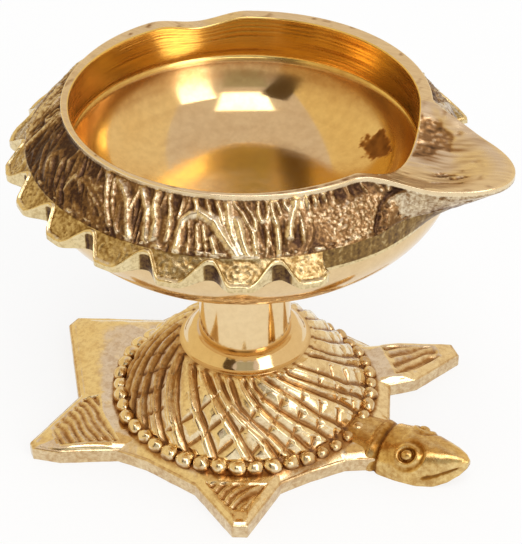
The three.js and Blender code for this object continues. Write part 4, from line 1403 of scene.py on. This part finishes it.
head = {
    "turn": 1.2, "around": 120, "flatPoints": 20, "along": 190, "girthRadius": 5.2, "squared": 1.25,
    "sections": [(20, 5, 4.4, 0), (25, 5.5, 4.4, 0), (28, 5.5, 5, 0), (31.4, 5.5, 5.8, 0), (35, 5, 6, 0),
                 (37.8, 3.9, 6, 0.2), (39.8, 2.8, 5.9, 1.2), (41.4, 1.6, 5.5, 2.6), (42.2, 0.6, 4.9, 3.6)],
    "eyeAlong": 32.6, "eyeTurn": 51, "eyeRing": 1.5, "eyeShare": 0.68, "eyeHeight": 0.5,
    "ringShare": 1.12, "ringHalf": 0.45, "ringHeight": 0.2,
    "grooveShare": 0.82, "grooveHalf": 0.32, "grooveDepth": 0.26,
    "browShare": 1.75, "browHalf": 0.45, "browDepth": 0.18,
    "creaseAlong": 27.2, "creaseHalf": 0.45, "creaseDepth": 0.34,
    "foldBehind": 1.2, "foldHalf": 0.5, "foldHeight": 0.2,
    "mouthAlong": 38, "mouthGirth": 6.6, "mouthLean": 0.25, "mouthHalf": 0.3, "mouthDepth": 0.22,
    "flatMark": 0.25,
}


# Sections that run smoothly into each other: half round above, a little squarer than an ellipse as
# the cast head is, and flat below
def headGrid(arc):
    table = np.array(head["sections"], float)
    along = np.interp(np.linspace(0, 1, head["along"]), np.linspace(0, 1, len(table)), table[:, 0])
    half, top, under = [np.interp(along, table[:, 0], table[:, k]) for k in (1, 2, 3)]
    for values in (half, top, under):
        values[4:-4] = np.convolve(values, np.ones(9) / 9, "valid")
    flat = np.linspace(-1, 1, head["flatPoints"] + 2)[1:-1]
    cosine = np.sign(np.cos(arc)) * np.abs(np.cos(arc)) ** (1 / head["squared"])
    sine = np.sin(arc) ** (1 / head["squared"])
    across = half[:, None] * np.concatenate([cosine, flat])[None, :]
    height = lerp(under[:, None], top[:, None], np.concatenate([sine, 0 * flat])[None, :])
    return np.stack([along[:, None] + 0 * across, across, height], -1)


# Lift (mm) and patina of the head: an eye in its ring, the brow, the crease of the neck, the mouth
def carveHead(grid, arc):
    along = grid[..., 0]
    upper = (np.arange(grid.shape[1]) < len(arc))[None, :]
    girth = np.zeros(along.shape)                  # mm round from the top of the head
    girth[:, :len(arc)] = np.abs(math.pi / 2 - arc)[None, :] * head["girthRadius"]
    eyeGirth = math.radians(90 - head["eyeTurn"]) * head["girthRadius"]
    toEye = np.hypot(along - head["eyeAlong"], girth - eyeGirth)
    size = head["eyeRing"]
    eye = hump(toEye, size * head["eyeShare"]) ** 0.7
    ring = hump(toEye - size * head["ringShare"], head["ringHalf"])
    groove = hump(toEye - size * head["grooveShare"], head["grooveHalf"])
    brow = hump(toEye - size * head["browShare"], head["browHalf"]) * smooth(along, 30.5, 33)
    behind = along - head["creaseAlong"]
    crease = softHump(behind - 0.05 * girth, head["creaseHalf"])
    fold = softHump(behind + head["foldBehind"], head["foldHalf"])
    toMouth = girth - head["mouthGirth"] + head["mouthLean"] * (along - head["mouthAlong"])
    mouth = softHump(toMouth, head["mouthHalf"]) * smooth(along, 35.2, 36.5)
    lift = head["ringHeight"] * ring - head["grooveDepth"] * groove - head["browDepth"] * brow
    lift = lift - head["creaseDepth"] * crease + head["eyeHeight"] * eye - head["mouthDepth"] * mouth
    lift = lift + head["foldHeight"] * fold + 0.05 * uneven(grid, 1.0, 71)
    tipFade = 1 - smooth(along, 40.6, 41.8)
    grime = 0.26 * lumps(grid, 2.6, 73) + 0.08 * (1 - smooth(along, 26.0, 29.5))
    grime = grime * (1 - smooth(along, 36.5, 40.5))          # the snout is rubbed bright
    patinaAndShade = 0.1 + 0.5 * groove + 0.45 * crease + 0.3 * brow + 0.6 * mouth * tipFade + grime
    return lift * upper * tipFade, np.where(upper, patinaAndShade, head["flatMark"])


def makeHead():
    arc = np.linspace(0, math.pi, head["around"] - head["flatPoints"])
    grid = headGrid(arc)
    normal = outward(gridNormals(grid), (head["along"] // 3, len(arc) // 2), (0, 0, 1.0))
    lift, patinaAndShade = carveHead(grid, arc)
    grid = grid + normal * lift[..., None]
    grid[..., 2] = np.maximum(grid[..., 2], 0)
    piece = gridPiece("head", grid, patinaAndShade, [handledBrass], 55, turn=tortoise["turn"] + head["turn"])
    handOver(piece, "tortoise_base")
    print("head made")


makeTortoise()
makeBeads()
makeHead()


fixing = {
    "studRadius": 2.4, "studTail": 0.6, "studEngagement": 4.6, "studColumns": 48,
    "threadPitch": 0.8, "threadDepth": 0.35, "threadFade": 0.5, "rowsPerThread": 8,
    "washerRadius": 5.4, "washerThickness": 1.0, "washerRound": 0.2, "sheetMark": 0.03,
    "springRadius": 4.4, "springThickness": 1.2, "springSplit": 0.8, "springMiddle": 3.5,
    "springPlay": 0.1, "springInset": 0.02, "springRound": 0.12, "springMark": 0.12,
    "nutAcross": 8.0, "nutHeight": 3.6, "nutColumns": 144, "nutLift": 0.05, "nutBevel": 1.7,
    "nutCut": 0.35, "nutMark": 0.1,
}

# The stack under the shell's crown, from the top down (mm)
washerTop = crownHeight - tortoise["crownThickness"]
springTop = washerTop - fixing["washerThickness"]
nutTop = springTop - fixing["springThickness"]
nutFoot = nutTop - fixing["nutHeight"]


def makeStud():
    low, high = nutFoot - fixing["studTail"], stemTop + fixing["studEngagement"]
    a = anglesRound(fixing["studColumns"])
    height = np.linspace(low, high, int((high - low) / fixing["threadPitch"] * fixing["rowsPerThread"]))
    phase = (height[:, None] / fixing["threadPitch"] - a[None, :] / fullTurn) % 1
    tooth = np.abs(phase - 0.5) * 2
    fade = fixing["threadFade"]
    ends = np.minimum(smooth(height, low, low + fade), 1 - smooth(height, high - fade, high))[:, None]
    radius = fixing["studRadius"] - fixing["threadDepth"] * (1 - tooth * ends)
    grid = np.stack([spun(r, z + 0 * a, a) for r, z in zip(radius, height)])
    toAxis = np.array([0.01, 0.01, 1])
    grid = np.concatenate([grid[:1] * toAxis, grid, grid[-1:] * toAxis])
    patinaAndShade = np.pad(0.5 * (1 - tooth), ((1, 1), (0, 0)))
    piece = gridPiece("tieStud", grid, patinaAndShade, [drawnBrass], 40)
    handOver(piece, "tie_stud")


def makeWasher():
    outer = rounded([(boreRadius, washerTop), (fixing["washerRadius"], washerTop),
                     (fixing["washerRadius"], springTop), (boreRadius, springTop)], fixing["washerRound"])
    marks = [fixing["sheetMark"]] * len(outer)
    lathePiece("flatWasher", outer, marks, drawnBrass, "flat_washer", columns=96)


# a split ring: a square bar bent round, its ends a little apart
def makeSpringWasher():
    top, low = springTop - fixing["springInset"], nutTop + fixing["springInset"]
    inner, outer = boreRadius + fixing["springPlay"], fixing["springRadius"]
    middle = (springTop + nutTop) / 2
    gap = math.degrees(fixing["springSplit"] / 2 / fixing["springMiddle"])
    section = rounded([(inner, middle), (inner, top), (outer, top), (outer, low), (inner, low),
                       (inner, middle - 0.01)], fixing["springRound"], 2)
    a = np.linspace(gap, fullTurn - gap, 90)
    grid = np.stack([np.stack([spun(np.array(r), np.array(z), np.array(t)) for r, z in section]) for t in a])
    patinaAndShade = np.full(grid.shape[:2], fixing["springMark"])
    piece = gridPiece("springWasher", grid, patinaAndShade, [zincPlatedSteel], 40)
    handOver(piece, "spring_washer")


def makeNut():
    a = anglesRound(fixing["nutColumns"])
    flat = fixing["nutAcross"] / 2 / np.cos(np.radians((a + 30) % 60 - 30))
    bevel = fixing["nutAcross"] / 2 + fixing["nutLift"]
    rows = [(boreRadius, nutTop), (bevel, nutTop)]
    for step in range(9):
        height = lerp(nutTop, nutFoot, step / 8)
        cone = bevel + np.minimum(nutTop - height, height - nutFoot) * fixing["nutBevel"]
        rows.append((np.minimum(flat, cone), height))
    cut = fixing["nutCut"]
    rows += [(bevel, nutFoot), (boreRadius + cut, nutFoot), (boreRadius, nutFoot + cut)]
    grid = np.stack([spun(r + 0 * a, z + 0 * a, a) for r, z in rows])
    patinaAndShade = np.full(grid.shape[:2], fixing["nutMark"])
    piece = gridPiece("hexNut", grid, patinaAndShade, [drawnBrass], 25, wrapRows=True)
    handOver(piece, "hex_nut")


makeStud()
makeWasher()
makeSpringWasher()
makeNut()
print("fixing made")

bpy.context.scene.view_settings.view_transform = "Standard"
